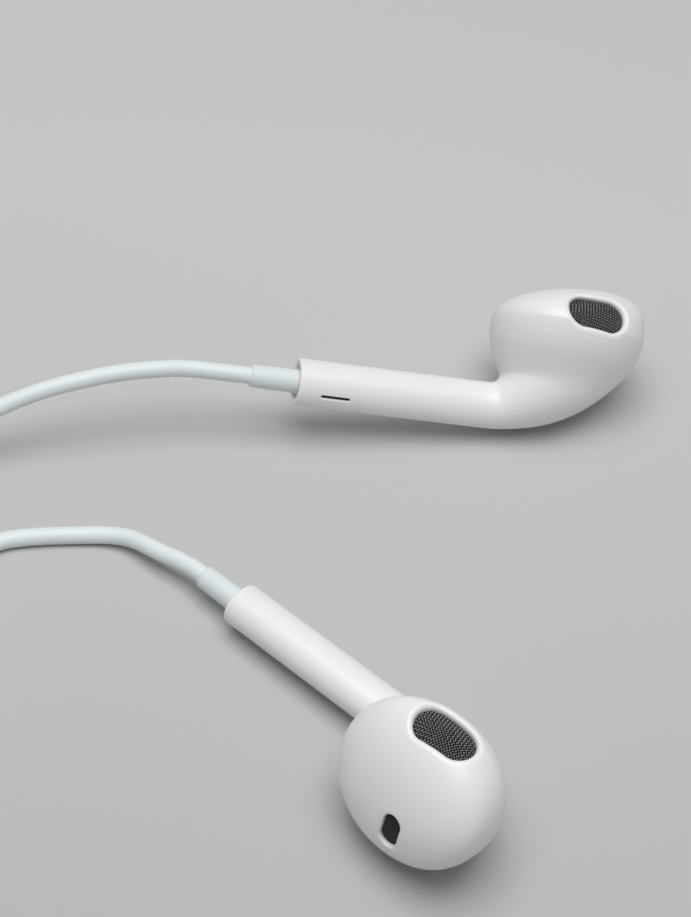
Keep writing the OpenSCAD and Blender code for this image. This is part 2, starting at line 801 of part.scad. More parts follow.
// The remote's section, from its middle line outwards, and a capsule swept with it
remote_corner = 1.6;
corner_steps = 6;
function corner_arc(wide, corner, low) = [
  for (i = [0:corner_steps])
    let (t = 90 * i / corner_steps)
      [wide - corner + corner * sin(t), low + corner - corner * cos(t)]
];
module capsule(long, wide) {
  for (side = [0, 1])
    rotate([0, 0, 180 * side])
      translate([(long - wide) / 2, 0, 0])
        rotate([0, 0, -90])
          rotate_extrude(angle = 180)
            children();
  for (side = [0, 1])
    rotate([0, 0, 180 * side])
      translate([-(long - wide) / 2, 0, 0])
        rotate([90, 0, 90])
          linear_extrude(long - wide)
            children();
}
module half_shell() {
  half = remote_wide / 2;
  polygon(concat(
    [[0, 0]],
    corner_arc(half, remote_corner, 0),
    [[half, remote_z], [half - remote_wall, remote_z]],
    [for (i = [corner_steps:-1:0]) corner_arc(half - remote_wall, remote_corner - remote_wall, remote_wall)[i]],
    [[0, remote_wall]]
  ));
}
module at_remote() {
  translate(remote_at)
    rotate([0, 0, 90])
      children();
}
module remote_bores() {
  for (side = [-1, 1])
    translate([side * remote_len / 2, 0, remote_z])
      rotate([0, 90, 0])
        cylinder(d = cord_bore, h = 4 * remote_wall, center = true);
}

// Inside the remote: board on posts, domes under the keys, microphone under the board
board_z = 2.2;
board_len = 28.4;
board_wide = 4.8;
post_r = 0.5;
post_x = 10;
post_y = 1.5;
dome_r = 1.4;
dome_top_r = 0.8;
dome_h = 0.4;
mic_x = 12;
mic_size = [2.6, 1.8, 1];
mic_hole_d = 0.8;
end_key_x = centre_key_len / 2 + key_bar + 2 * key_gap + key_len / 2;
key_corner = 0.8;
key_flange = 0.4;
flange_low = 4;
key_flange_t = 0.5;
plunger_low = 3.55;
plunger_r = 0.7;

module remote_back() {
  color("white")
    at_remote()
      difference() {
        union() {
          capsule(remote_len, remote_wide)
            half_shell();
          for (x = [-1, 1], y = [-1, 1])
            translate([x * post_x, y * post_y, remote_wall / 2])
              cylinder(r = post_r, h = board_z - remote_wall / 2, $fn = 24);
        }
        remote_bores();
        translate([mic_x, 0, -1])
          cylinder(d = mic_hole_d, h = 3, $fn = 24);
      }
}
module remote_front() {
  color("white")
    at_remote()
      difference() {
        translate([0, 0, remote_thick])
          mirror([0, 0, 1])
            capsule(remote_len, remote_wide)
              half_shell();
        remote_bores();
        for (k = [[-end_key_x, key_len], [0, centre_key_len], [end_key_x, key_len]])
          translate([k[0], 0, remote_z])
            linear_extrude(remote_thick)
              soft_rectangle(k[1] + 2 * key_gap, key_wide + 2 * key_gap, key_corner + key_gap);
      }
}
module key(x, long) {
  color("white")
    at_remote()
      translate([x, 0, 0]) {
        translate([0, 0, flange_low + key_flange_t])
          linear_extrude(remote_thick + key_proud - flange_low - key_flange_t)
            soft_rectangle(long, key_wide, key_corner);
        translate([0, 0, flange_low])
          linear_extrude(key_flange_t)
            soft_rectangle(long + 2 * key_flange, key_wide + 2 * key_flange, key_corner);
        translate([0, 0, plunger_low])
          cylinder(r = plunger_r, h = flange_low - plunger_low, $fn = 24);
      }
}
module remote_board() {
  color("darkgreen")
    at_remote()
      translate([-board_len / 2, -board_wide / 2, board_z])
        cube([board_len, board_wide, board_t]);
}
module key_domes() {
  color("gold")
    at_remote()
      for (x = [-end_key_x, 0, end_key_x])
        translate([x, 0, board_z + board_t])
          cylinder(r1 = dome_r, r2 = dome_top_r, h = dome_h, $fn = 32);
}
module microphone() {
  color("silver")
    at_remote()
      translate([mic_x - mic_size[0] / 2, -mic_size[1] / 2, board_z - mic_size[2]])
        cube(mic_size);
}

// The split: a solid capsule on two thin cords and the main one
split_corner = 1.4;
bore_end = 0.3;
module half_split() {
  half = split_wide / 2;
  arc = corner_arc(half, split_corner, 0);
  polygon(concat(
    [[0, 0]],
    arc,
    [for (i = [corner_steps:-1:0]) [arc[i][0], split_thick - arc[i][1]]],
    [[0, split_thick]]
  ));
}
module split_bore(x, y, d) {
  translate([x, y, split_z])
    rotate([0, 90, 0])
      cylinder(d = d + 2 * cord_gap, h = 2 * (split_inside + bore_end), center = true);
}
module y_split() {
  color("white")
    translate(split_at)
      difference() {
        capsule(split_len, split_wide)
          half_split();
        for (side = [-1, 1])
          split_bore(split_len / 2, side * split_pitch / 2, cord_d);
        split_bore(-split_len / 2, 0, main_d);
      }
}

// The plug, drawn from the cord's end to the tip
grip_edge = 0.5;
plug_relief_d = 3.6;
main_bore = main_d + 2 * cord_gap;
collar_d = 4.6;
collar_len = 0.5;
jack_r = jack_d / 2;
grip_z = plug_relief_len;
jack_z = grip_z + grip_len;
tip_len = 4.1;
sleeve_len = jack_len - tip_len - 3 * band_len - 2 * contact_len;
function band_z(i) = jack_z + sleeve_len + i * (band_len + contact_len);
tip_z = band_z(2) + band_len;
module at_plug() {
  translate(plug_at)
    rotate([90, 0, 0])
      children();
}
module plug_relief() {
  color("lavender")
    at_plug()
      rotate_extrude()
        polygon([
          [main_bore / 2, 0], [plug_relief_d / 2, 0], [grip_d / 2 - grip_edge, plug_relief_len],
          [main_bore / 2, plug_relief_len]
        ]);
}
module plug_grip() {
  color("white")
    at_plug()
      translate([0, 0, grip_z])
        difference() {
          rotate_extrude()
            polygon([
              [0, 0], [grip_d / 2 - grip_edge, 0], [grip_d / 2, grip_edge], [grip_d / 2, grip_len - grip_edge],
              [grip_d / 2 - grip_edge, grip_len], [0, grip_len]
            ]);
          translate([0, 0, -1])
            cylinder(d = main_bore, h = 1 + plug_inside + bore_end);
        }
}
module plug_sleeve() {
  color("gold")
    at_plug()
      translate([0, 0, jack_z]) {
        cylinder(d = collar_d, h = collar_len);
        cylinder(r = jack_r, h = sleeve_len);
      }
}
module plug_ring(i) {
  color("gold")
    at_plug()
      translate([0, 0, band_z(i) + band_len])
        cylinder(r = jack_r, h = contact_len);
}
module plug_insulators() {
  color("dimgray")
    at_plug()
      for (i = [0:2])
        translate([0, 0, band_z(i)])
          cylinder(r = jack_r, h = band_len);
}
// The tip: a short collar, a groove for the socket's spring, a bulge and a blunt cone
module plug_tip() {
  color("gold")
    at_plug()
      translate([0, 0, tip_z])
        rotate_extrude()
          polygon([
            [0, 0], [jack_r, 0], [jack_r, 0.4], [0.7 * jack_r, 1.1], [0.7 * jack_r, 1.3], [jack_r, 2.1],
            [jack_r, 2.6], [0.25 * jack_r, tip_len - 0.1], [0, tip_len]
          ]);
}

left_bud() front_cover();  // left_front_cover
left_bud() rear_housing();  // left_rear_housing
left_bud() speaker_mesh();  // left_speaker_mesh
left_bud() port_mesh();  // left_port_mesh
left_bud() vent_mesh();  // left_vent_mesh
left_bud() driver_frame();  // left_driver_frame
left_bud() driver_cup();  // left_driver_cup
left_bud() magnet();  // left_magnet
left_bud() top_plate();  // left_top_plate
left_bud() voice_coil();  // left_voice_coil
left_bud() diaphragm();  // left_diaphragm
left_bud() driver_seal();  // left_driver_seal
left_bud() strain_relief();  // left_strain_relief
left_bud() cable_stop();  // left_cable_stop
right_bud() front_cover();  // right_front_cover
right_bud() rear_housing();  // right_rear_housing
right_bud() speaker_mesh();  // right_speaker_mesh
right_bud() port_mesh();  // right_port_mesh
right_bud() vent_mesh();  // right_vent_mesh
right_bud() driver_frame();  // right_driver_frame
right_bud() driver_cup();  // right_driver_cup
right_bud() magnet();  // right_magnet
right_bud() top_plate();  // right_top_plate
right_bud() voice_coil();  // right_voice_coil
right_bud() diaphragm();  // right_diaphragm
right_bud() driver_seal();  // right_driver_seal
right_bud() strain_relief();  // right_strain_relief
right_bud() cable_stop();  // right_cable_stop
tube(left_route, cord_d, cord_sides);  // left_cord
tube(coil_path(left_loop), cord_d, coil_sides);  // left_coil
tube(left_split_route, cord_d, cord_sides);  // left_split_lead
tube(right_route, cord_d, cord_sides);  // right_cord
tube(remote_route, cord_d, cord_sides);  // remote_lead
tube(coil_path(right_loop), cord_d, coil_sides);  // right_coil
tube(right_split_route, cord_d, cord_sides);  // right_split_lead
tube(main_route, main_d, cord_sides);  // main_lead
tube(coil_path(main_loop), main_d, coil_sides);  // main_coil
tube(plug_route, main_d, cord_sides);  // plug_lead
cord_ties();
remote_front();
remote_back();
key(-end_key_x, key_len);  // key_up
key(0, centre_key_len);  // key_centre
key(end_key_x, key_len);  // key_down
remote_board();
key_domes();
microphone();
y_split();
plug_grip();
plug_relief();
plug_sleeve();
plug_ring(0);  // plug_ring_rear
plug_ring(1);  // plug_ring_front
plug_tip();
plug_insulators();
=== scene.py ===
"""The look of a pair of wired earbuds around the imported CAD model.

Sizes are in millimetres in the tables and functions, and in metres once a piece is made.
A bud's own frame has x along the stem to the head, y to the ear and z to the face.
"""

import json
import math

import bmesh
import bpy
import numpy as np
from mathutils import Euler, Matrix, Vector

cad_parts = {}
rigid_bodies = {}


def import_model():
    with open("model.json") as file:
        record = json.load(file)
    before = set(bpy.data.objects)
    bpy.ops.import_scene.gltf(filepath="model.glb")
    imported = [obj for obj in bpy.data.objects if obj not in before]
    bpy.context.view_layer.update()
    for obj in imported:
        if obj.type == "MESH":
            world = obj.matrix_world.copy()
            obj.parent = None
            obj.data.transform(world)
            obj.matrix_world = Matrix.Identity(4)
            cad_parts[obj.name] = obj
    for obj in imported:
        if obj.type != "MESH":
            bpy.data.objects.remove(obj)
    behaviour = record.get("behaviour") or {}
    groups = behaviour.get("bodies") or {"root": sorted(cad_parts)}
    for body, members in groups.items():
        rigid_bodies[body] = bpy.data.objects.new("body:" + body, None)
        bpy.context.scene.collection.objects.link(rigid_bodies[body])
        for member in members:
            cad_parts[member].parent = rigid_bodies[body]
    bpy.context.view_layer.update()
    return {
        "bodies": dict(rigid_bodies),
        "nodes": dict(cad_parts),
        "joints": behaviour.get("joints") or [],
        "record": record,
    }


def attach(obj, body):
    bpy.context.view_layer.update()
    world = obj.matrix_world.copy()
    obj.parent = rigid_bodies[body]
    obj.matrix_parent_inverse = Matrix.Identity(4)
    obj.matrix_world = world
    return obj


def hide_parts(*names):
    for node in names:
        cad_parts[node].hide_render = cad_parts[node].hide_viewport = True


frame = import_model()

MM = 0.001
ROOT = "earphones"

# Where the buds lie: the middle of the stem's open end, and the turns about x, y and z.
BUDS = {
    "left": {"at": (-15.312, 20.943, 7.774), "turn": (38.65, 10.28, 9.85), "mirror": 1},
    "right": {"at": (-17.852, -7.217, 3.032), "turn": (155.07, -0.75, -36.38), "mirror": -1},
}

# Stem, neck and head
STEM_LEN, STEM_DEEP, STEM_WIDE_END, STEM_WIDE_NECK = 22.2, 5.2, 4.5, 4.6
STEM_WALL, RIM_ROUND, RIM_RECESS, END_WALL = 0.6, 0.15, 0.6, 1.0
NECK_RISE, NECK_BEND, HEEL_CURVE = 4.0, 1.1, 2.35
BASE_LEN, BASE_WIDE, HEAD_LEN, HEAD_WIDE, HEAD_SQUARE = 12.5, 11.2, 17.3, 16.3, 2.05
HEAD_RISE, DOME_RISE, DOME_LEAN, HEAD_SIDE, DOME_SIDE, NECK_SHARE = 5.8, 5.2, 3.6, 1.9, -0.2, 0.3
SEAM_TILT, SEAM_RISE, SHELL_WALL = 5.0, 4.4, 1.0
LIP_GAP, LIP_DEEP, COVER_THICK = 0.1, 0.6, SHELL_WALL + 1.3
HEAD_MID = NECK_BEND + BASE_LEN / 2
RELIEF_LEN, RELIEF_D, RELIEF_TIP_D = 5.2, 2.7, 2.5
HOLE_D = RELIEF_D + 0.1

# Openings: length, width, roundness of the lip, depth of the mesh
SOUND = {"long": 6.5, "wide": 3.7, "lip": 0.8, "deep": 0.8, "up": 0.32, "round": 93, "tilt": 71, "turn": 1}
PORT = {"long": 3.9, "wide": 2.0, "lip": 0.3, "deep": 0.6, "up": 0.87, "round": 298, "tilt": -15, "turn": 90}
SLOT = {"long": 3.3, "wide": 0.4, "lip": 0.1, "deep": 0.35, "at": 4.2, "down": 34}
# How far a cut goes in past the mesh, and how far it stands out
HEAD_CUT, SLOT_CUT, CUT_OUT = 2.6, 0.8, 1.8

# Cords
CORD_D, MAIN_D, BORE_GAP = 1.9, 2.3, 0.05
COIL_SPACE, LAYER_SPACE, TIE_T, TIE_WIDE, TIE_GAP = 0.85, 0.6, 0.5, 3.0, 0.25


def mix(a, b, t):
    return a + (b - a) * t


def smooth_step(t):
    t = np.clip(t, 0, 1)
    return t * t * (3 - 2 * t)


# Camera
CAMERA_AT = (-7.651, -164.838, 196.22)
CAMERA_RIGHT, CAMERA_UP = (0.9929, 0.0867, 0.0814), (-0.1189, 0.7236, 0.6799)
CAMERA_AHEAD = (0.0, 0.6847, -0.7288)
SENSOR, LENS, SHIFT = 36.0, 94.754, (-0.01418, -0.01232)


def make_camera():
    """The photograph's view, looking down at the buds from in front."""
    data = bpy.data.cameras.new("photo_camera")
    data.sensor_fit, data.sensor_width, data.lens = "AUTO", SENSOR, LENS
    data.shift_x, data.shift_y = SHIFT
    data.clip_start, data.clip_end = 0.01, 10.0
    camera = bpy.data.objects.new("photo_camera", data)
    bpy.context.scene.collection.objects.link(camera)
    turn = Matrix((CAMERA_RIGHT, CAMERA_UP, [-a for a in CAMERA_AHEAD])).transposed().to_4x4()
    camera.matrix_world = Matrix.Translation(Vector(CAMERA_AT) * MM) @ turn
    bpy.context.scene.camera = camera


make_camera()


# Cords
class Coil:
    """A put-away coil that spirals in and out, layer on layer."""

    def __init__(self, middle, start, way, turns, layers, inner, thick):
        self.middle, self.start, self.way = middle, start, way
        self.turns, self.layers, self.inner, self.thick = turns, layers, inner, thick
        self.pitch = thick + COIL_SPACE
        self.step = thick + LAYER_SPACE
        self.low = thick / 2 + TIE_GAP + TIE_T
        self.angle = layers * 360 * turns + (layers - 1) * 180

    def point(self, a):
        cycle = 360 * self.turns + 180
        layer = min(int(a // cycle), self.layers - 1)
        past = a - layer * cycle
        wound = min(past / (360 * self.turns), 1)
        climb = max(past - 360 * self.turns, 0) / 180
        share = 1 - wound if layer % 2 == 0 else wound
        r = self.inner + self.pitch * self.turns * share
        t = math.radians(self.start + self.way * a)
        z = self.low + self.step * (layer + climb * climb * (3 - 2 * climb))
        return Vector((self.middle[0] + r * math.cos(t), self.middle[1] + r * math.sin(t), z))

    def along(self, a):
        t = math.radians(self.start + self.way * a)
        return self.way * Vector((-math.sin(t), math.cos(t), 0))

    def begin(self):
        return self.point(0) - self.thick * self.along(0)

    def end(self):
        return self.point(self.angle) + self.thick * self.along(self.angle)

    def path(self):
        n = round(self.angle / 360 * 24)
        return [self.begin(), *[self.point(self.angle * i / n) for i in range(n + 1)], self.end()]


LEFT_COIL = Coil((-64, 18.9125), 270, -1, 1.75, 2, 8.1, CORD_D)
RIGHT_COIL = Coil((-72.75, -18), 0, -1, 1, 2, 8.5, CORD_D)
MAIN_COIL = Coil((-116.5, -10.890625), 90, 1, 2.1875, 4, 8.5, MAIN_D)
PLUG_AT = (MAIN_COIL.end().x, -31, 2.7)


def bud_matrix(side):
    bud = BUDS[side]
    turn = Euler([math.radians(a) for a in bud["turn"]], "XYZ").to_matrix().to_4x4()
    return Matrix.Translation(bud["at"]) @ turn @ Matrix.Diagonal((1, 1, bud["mirror"], 1))


def stem_run(side):
    return [bud_matrix(side) @ Vector((x, 0, 0)) for x in (4.5, 1, -3, -7)]


def cord_routes():
    """The routes of the four cords through their coils, as lists of points."""
    left = stem_run("left") + [
        (-27.1, 19.1, 9.6), (-30.2, 18.3, 9.8), (-34.3, 17.1, 9.7), (-38.4, 15.7, 9.2), (-42.4, 14.2, 8.4),
        (-46.4, 12.3, 7.2), (-50, 10, 5.5), (-54, 7.5, 3.4), (-58, 6.2, 2),
    ]
    left += LEFT_COIL.path() + [
        (-72, 6, 3.8), (-78, 6, 2.9), (-84, 6, 2.2), (-88, 6, 2), (-91, 6, 2), (-95.6, 6, 2),
    ]
    right = stem_run("right") + [
        (-27.3, -1, 2.4), (-30.2, 0.8, 1.7), (-32.9, 1.4, 1.15), (-36.4, 1, 0.96), (-40.7, 0.1, 0.96),
        (-44, -1.1, 0.96), (-46.1, -3.2, 0.96), (-46.9, -6.4, 0.96), (-46.7, -10, 0.96), (-46, -16, 0.96),
        (-45.2, -23, 0.96), (-44.4, -31, 0.96), (-43.7, -39, 0.96), (-43.6, -43, 1.1), (-44.6, -46.3, 1.4),
        (-47.2, -48.5, 1.9), (-50.2, -47.9, 2.4), (-52.1, -45.6, 2.7), (-52.5, -43, 2.7), (-52.5, -39.2, 2.7),
    ]
    remote = [
        (-52.5, -8.8, 2.7), (-52.5, -5, 2.7), (-52.8, -2.9, 2.7), (-54.4, -0.6, 2.6), (-57, 0.4, 2.3),
        (-59.6, -0.6, 2), (-61.1, -2.9, 1.8), (-61.5, -6, 1.7), (-61.5, -11, 1.7),
    ]
    lead_x = RIGHT_COIL.end().x
    remote += RIGHT_COIL.path() + [(lead_x, -9, 3.4), (lead_x, -4.5, 2.5)]
    for a in (0, 30, 60, 90):
        bend = math.radians(a)
        remote.append((lead_x - 5 * (1 - math.cos(bend)), 3 - 5 * (1 - math.sin(bend)), 2))
    remote += [(-91, 3, 2), (-95.6, 3, 2)]
    main = [(-100.4, 4.5, 2), (-106, 4.5, 2), (-108.5, 4.5, 2)] + MAIN_COIL.path()
    fall = (
        (-17, 9.9), (-19.5, 8.4), (-21.5, 6.3), (-23.5, 4.4), (-26, 3.1), (-28.5, 2.7), (-31, 2.7),
        (-44, 2.7),
    )
    main += [(PLUG_AT[0], y, z) for y, z in fall]
    return {"left": left, "right": right, "remote": remote, "main": main}


def rounded_route(points, steps):
    """A smooth line through the points."""
    p = [Vector(q) for q in points]
    p = [2 * p[0] - p[1], *p, 2 * p[-1] - p[-2]]
    line = []
    for a, b, c, d in zip(p, p[1:], p[2:], p[3:]):
        for i in range(steps):
            t = i / steps
            bend = (2 * a - 5 * b + 4 * c - d) * t * t
            line.append(0.5 * (2 * b + (c - a) * t + bend + (3 * b - a - 3 * c + d) * t**3))
    return line + [p[-2]]


def cord_curve(name, points, thick):
    curve = bpy.data.curves.new(name, "CURVE")
    curve.dimensions, curve.bevel_depth, curve.bevel_resolution = "3D", 1.0, 5
    curve.use_fill_caps = True
    line = rounded_route(points, 4)
    spline = curve.splines.new("POLY")
    spline.points.add(len(line) - 1)
    for point, place in zip(spline.points, line):
        point.co = (*(place * MM), 1)
        point.radius = thick / 2 * MM
    spline.use_smooth = True
    cord = bpy.data.objects.new(name, curve)
    bpy.context.scene.collection.objects.link(cord)
    return cord


REMOTE_PIECES = [
    "remote_front_shell", "remote_back_shell", "key_up_cap", "key_centre_cap", "key_down_cap",
    "remote_board", "key_domes", "microphone",
]
PLUG_PIECES = [
    "plug_grip_body", "plug_relief_sleeve", "plug_sleeve_contact", "plug_ring_rear_contact",
    "plug_ring_front_contact", "plug_tip_contact", "plug_insulator_bands",
]


def make_cords():
    """The cords, each with its length in metres and the CAD stretches it stands for."""
    routes = cord_routes()
    plans = {
        "left": ("left_earbud_cord", CORD_D, 0.345, BUDS["left"]["at"], "fitting", "coiled",
                 ["left_cord", "left_coil", "left_split_lead"], ["y_split_body"]),
        "right": ("right_earbud_cord", CORD_D, 0.097, BUDS["right"]["at"], "fitting", "loose",
                  ["right_cord"], REMOTE_PIECES),
        "remote": ("remote_cord", CORD_D, 0.213, (-52.5, -7, 2.7), "fitting", "coiled",
                   ["remote_lead", "right_coil", "right_split_lead"], ["y_split_body"]),
        "main": ("main_cord", MAIN_D, 0.81, (-105, 4.5, 2), "plug", "coiled",
                 ["main_lead", "main_coil", "plug_lead"], PLUG_PIECES),
    }
    cords = []
    for key, (name, thick, length, start, far_end, lay, nodes, held) in plans.items():
        cord = cord_curve(name, routes[key], thick)
        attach(cord, ROOT)
        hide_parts(*nodes)
        cords.append((cord, Vector(start) * MM, length, thick * MM, far_end, lay, held))
    return cords


cords = make_cords()


# Materials
def shared_group(name):
    """An empty shader group for tone, haze and texture, and its texture coordinates."""
    group = bpy.data.node_groups.new(name, "ShaderNodeTree")
    for socket in ("Tone", "Haze", "Texture"):
        group.interface.new_socket(name=socket, in_out="OUTPUT", socket_type="NodeSocketFloat")
    return group, group.nodes.new("ShaderNodeTexCoord").outputs["Object"]


def put_out(group, tone, haze, texture):
    end = group.nodes.new("NodeGroupOutput")
    for value, socket in ((tone, "Tone"), (haze, "Haze"), (texture, "Texture")):
        group.links.new(value, end.inputs[socket])
    return group


def noise(tree, place, scale, detail=2.0, rough=0.5):
    node = tree.nodes.new("ShaderNodeTexNoise")
    node.inputs["Scale"].default_value = scale
    node.inputs["Detail"].default_value = detail
    node.inputs["Roughness"].default_value = rough
    tree.links.new(place, node.inputs["Vector"])
    return node.outputs["Fac"]


def sums(tree, operation, a, b):
    node = tree.nodes.new("ShaderNodeMath")
    node.operation = operation
    for socket, value in zip(node.inputs, (a, b)):
        if isinstance(value, (int, float)):
            socket.default_value = value
        else:
            tree.links.new(value, socket)
    return node.outputs[0]


def moulded_skin():
    """Moulded plastic: a faint drift of tone, handling marks and a fine mould texture."""
    group, at = shared_group("moulded_skin")
    drift = noise(group, at, 140, 3.0)
    haze = noise(group, at, 420, 4.0, 0.6)
    fine = noise(group, at, 5200, 2.0)
    texture = sums(group, "ADD", fine, sums(group, "MULTIPLY", noise(group, at, 1500, 2.0), 0.6))
    return put_out(group, drift, haze, texture)


def drawn_metal():
    """Turned or pressed metal: streaks and small nicks."""
    group, at = shared_group("drawn_metal")
    streak = group.nodes.new("ShaderNodeMapping")
    streak.inputs["Scale"].default_value = (1, 0.08, 1)
    group.links.new(at, streak.inputs["Vector"])
    lines = noise(group, streak.outputs[0], 4200, 3.0, 0.6)
    spots = noise(group, at, 900, 3.0)
    return put_out(group, spots, lines, lines)


def knitted_cloth():
    """Fine cloth, foam or paper: crossed threads with a speckle."""
    group, at = shared_group("knitted_cloth")
    threads = []
    for direction in ("X", "Y"):
        wave = group.nodes.new("ShaderNodeTexWave")
        wave.bands_direction = direction
        wave.inputs["Scale"].default_value = 1300
        wave.inputs["Distortion"].default_value = 0.6
        group.links.new(at, wave.inputs["Vector"])
        threads.append(wave.outputs["Fac"])
    crossed = sums(group, "MAXIMUM", *threads)
    speckle = noise(group, at, 2600, 3.0)
    return put_out(group, speckle, noise(group, at, 700, 2.0), crossed)


GROUPS = {"moulded": moulded_skin(), "metal": drawn_metal(), "cloth": knitted_cloth()}

# Finish: group, darker tone, lighter tone, roughness from and to, height of the texture in mm, metallic, coat
FINISHES = {
    "shell_plastic": ("moulded", (0.85, 0.852, 0.84), (0.90, 0.902, 0.89), (0.30, 0.40), 0.0030, 0.0, 0.0),
    "soft_sleeve": ("moulded", (0.72, 0.775, 0.785), (0.78, 0.835, 0.845), (0.48, 0.60), 0.0060, 0.0, 0.0),
    "cord_jacket": ("moulded", (0.76, 0.815, 0.82), (0.82, 0.875, 0.88), (0.40, 0.52), 0.0060, 0.0, 0.0),
    "tie_rubber": ("moulded", (0.60, 0.61, 0.62), (0.68, 0.69, 0.70), (0.55, 0.70), 0.0080, 0.0, 0.0),
    "woven_wire": ("metal", (0.185, 0.185, 0.19), (0.29, 0.29, 0.295), (0.30, 0.42), 0.0008, 0.9, 0.0),
    "port_wire": ("metal", (0.06, 0.06, 0.063), (0.13, 0.13, 0.135), (0.35, 0.50), 0.0008, 0.5, 0.0),
    "acoustic_cloth": ("cloth", (0.010, 0.010, 0.011), (0.022, 0.022, 0.024), (0.80, 0.95), 0.0200, 0.0, 0.0),
    "frame_plastic": ("moulded", (0.30, 0.30, 0.31), (0.38, 0.38, 0.39), (0.45, 0.60), 0.0040, 0.0, 0.0),
    "pressed_steel": ("metal", (0.52, 0.52, 0.53), (0.64, 0.64, 0.65), (0.25, 0.40), 0.0015, 1.0, 0.0),
    "magnet_nickel": ("metal", (0.42, 0.42, 0.42), (0.50, 0.50, 0.49), (0.22, 0.34), 0.0010, 1.0, 0.0),
    "copper_wire": ("metal", (0.60, 0.28, 0.13), (0.75, 0.38, 0.19), (0.28, 0.42), 0.0100, 1.0, 0.0),
    "membrane_film": ("moulded", (0.55, 0.50, 0.40), (0.66, 0.61, 0.50), (0.22, 0.34), 0.0030, 0.0, 0.2),
    "seal_foam": ("cloth", (0.05, 0.05, 0.05), (0.09, 0.09, 0.09), (0.85, 1.00), 0.0600, 0.0, 0.0),
    "circuit_board": ("moulded", (0.02, 0.10, 0.05), (0.03, 0.15, 0.07), (0.35, 0.50), 0.0050, 0.0, 0.2),
    "contact_gold": ("metal", (0.78, 0.56, 0.24), (0.90, 0.68, 0.32), (0.16, 0.28), 0.0010, 1.0, 0.0),
    "band_plastic": ("moulded", (0.03, 0.03, 0.03), (0.06, 0.06, 0.06), (0.35, 0.50), 0.0040, 0.0, 0.0),
}


def make_finish(name):
    group, dark, light, rough, height, metallic, coat = FINISHES[name]
    material = bpy.data.materials.new(name)
    material.use_nodes = True
    tree = material.node_tree
    shader = tree.nodes["Principled BSDF"]
    shader.inputs["Metallic"].default_value = metallic
    shader.inputs["Coat Weight"].default_value = coat
    effect = tree.nodes.new("ShaderNodeGroup")
    effect.node_tree = GROUPS[group]
    tone = tree.nodes.new("ShaderNodeMix")
    tone.data_type = "RGBA"
    tone.inputs["A"].default_value = (*dark, 1)
    tone.inputs["B"].default_value = (*light, 1)
    tree.links.new(effect.outputs["Tone"], tone.inputs["Factor"])
    tree.links.new(tone.outputs["Result"], shader.inputs["Base Color"])
    haze = tree.nodes.new("ShaderNodeMapRange")
    haze.inputs["To Min"].default_value, haze.inputs["To Max"].default_value = rough
    tree.links.new(effect.outputs["Haze"], haze.inputs["Value"])
    tree.links.new(haze.outputs["Result"], shader.inputs["Roughness"])
    bump = tree.nodes.new("ShaderNodeBump")
    bump.inputs["Strength"].default_value = 0.5
    bump.inputs["Distance"].default_value = height * MM
    tree.links.new(effect.outputs["Texture"], bump.inputs["Height"])
    tree.links.new(bump.outputs["Normal"], shader.inputs["Normal"])
    return material


MATERIALS = {name: make_finish(name) for name in FINISHES}


# Making pieces
def closed_mesh(name, points, faces):
    """A mesh of closed skins, their faces turned outwards."""
    mesh = bpy.data.meshes.new(name)
    mesh.from_pydata([tuple(map(float, p)) for p in points], [], [list(f) for f in faces])
    work = bmesh.new()
    work.from_mesh(mesh)
    bmesh.ops.recalc_face_normals(work, faces=work.faces)
    work.to_mesh(mesh)
    work.free()
    return mesh


def make_piece(name, points, faces, finishes, nodes, body=ROOT, face_finish=None, crisp=None):
    """A smooth-shaded mesh piece from points in millimetres, in place of CAD nodes.

    Edges that fold more than crisp, in degrees, stay sharp.
    """
    mesh = closed_mesh(name, np.asarray(points) * MM, faces)
    mesh.polygons.foreach_set("use_smooth", [True] * len(mesh.polygons))
    if crisp is not None:
        mesh.set_sharp_from_angle(angle=math.radians(crisp))
    for finish in finishes:
        mesh.materials.append(MATERIALS[finish])
    if face_finish is not None:
        mesh.polygons.foreach_set("material_index", face_finish)
    mesh.update()
    piece = bpy.data.objects.new(name, mesh)
    bpy.context.scene.collection.objects.link(piece)
    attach(piece, body)
    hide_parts(*nodes)
    return piece


def ring_faces(count, sides, loop=False, first=0):
    """Quads over count rings of equal sides, as a tube or, with loop, a closed ring of rings."""
    faces = []
    for i in range(count if loop else count - 1):
        a, b = first + i * sides, first + (i + 1) % count * sides
        for j in range(sides):
            k = (j + 1) % sides
            faces.append((a + j, b + j, b + k, a + k))
    return faces


def capped_faces(count, sides):
    """Quads over a tube of rings, closed by a face at each end."""
    last = (count - 1) * sides
    return ring_faces(count, sides) + [tuple(range(sides))[::-1], tuple(range(last, last + sides))]


def in_place(side, points):
    """Points of a bud's own frame, in the shared frame."""
    m = np.array(bud_matrix(side))
    return np.asarray(points) @ m[:3, :3].T + m[:3, 3]


def turned(points, turns, at):
    """Points turned about x, then y, then z in degrees, and moved."""
    m = np.array(Euler([math.radians(a) for a in turns], "XYZ").to_matrix())
    return np.asarray(points) @ m.T + np.asarray(at)


# The buds' skins
RING = 144


def section(square, sides=RING):
    t = np.arange(sides) * 2 * np.pi / sides
    c, s = np.cos(t), np.sin(t)
    return np.sign(c) * np.abs(c) ** (2 / square), np.sign(s) * np.abs(s) ** (2 / square)


def stem_ring(x, inset, sides=RING):
    c, s = section(2, sides)
    wide = mix(STEM_WIDE_END, STEM_WIDE_NECK, x / STEM_LEN)
    return np.stack([np.full(sides, x), (STEM_DEEP / 2 - inset) * c, (wide / 2 - inset) * s], 1)


def round_ring(x, radius, sides=RING):
    c, s = section(2, sides)
    return np.stack([np.full(sides, x), radius * c, radius * s], 1)


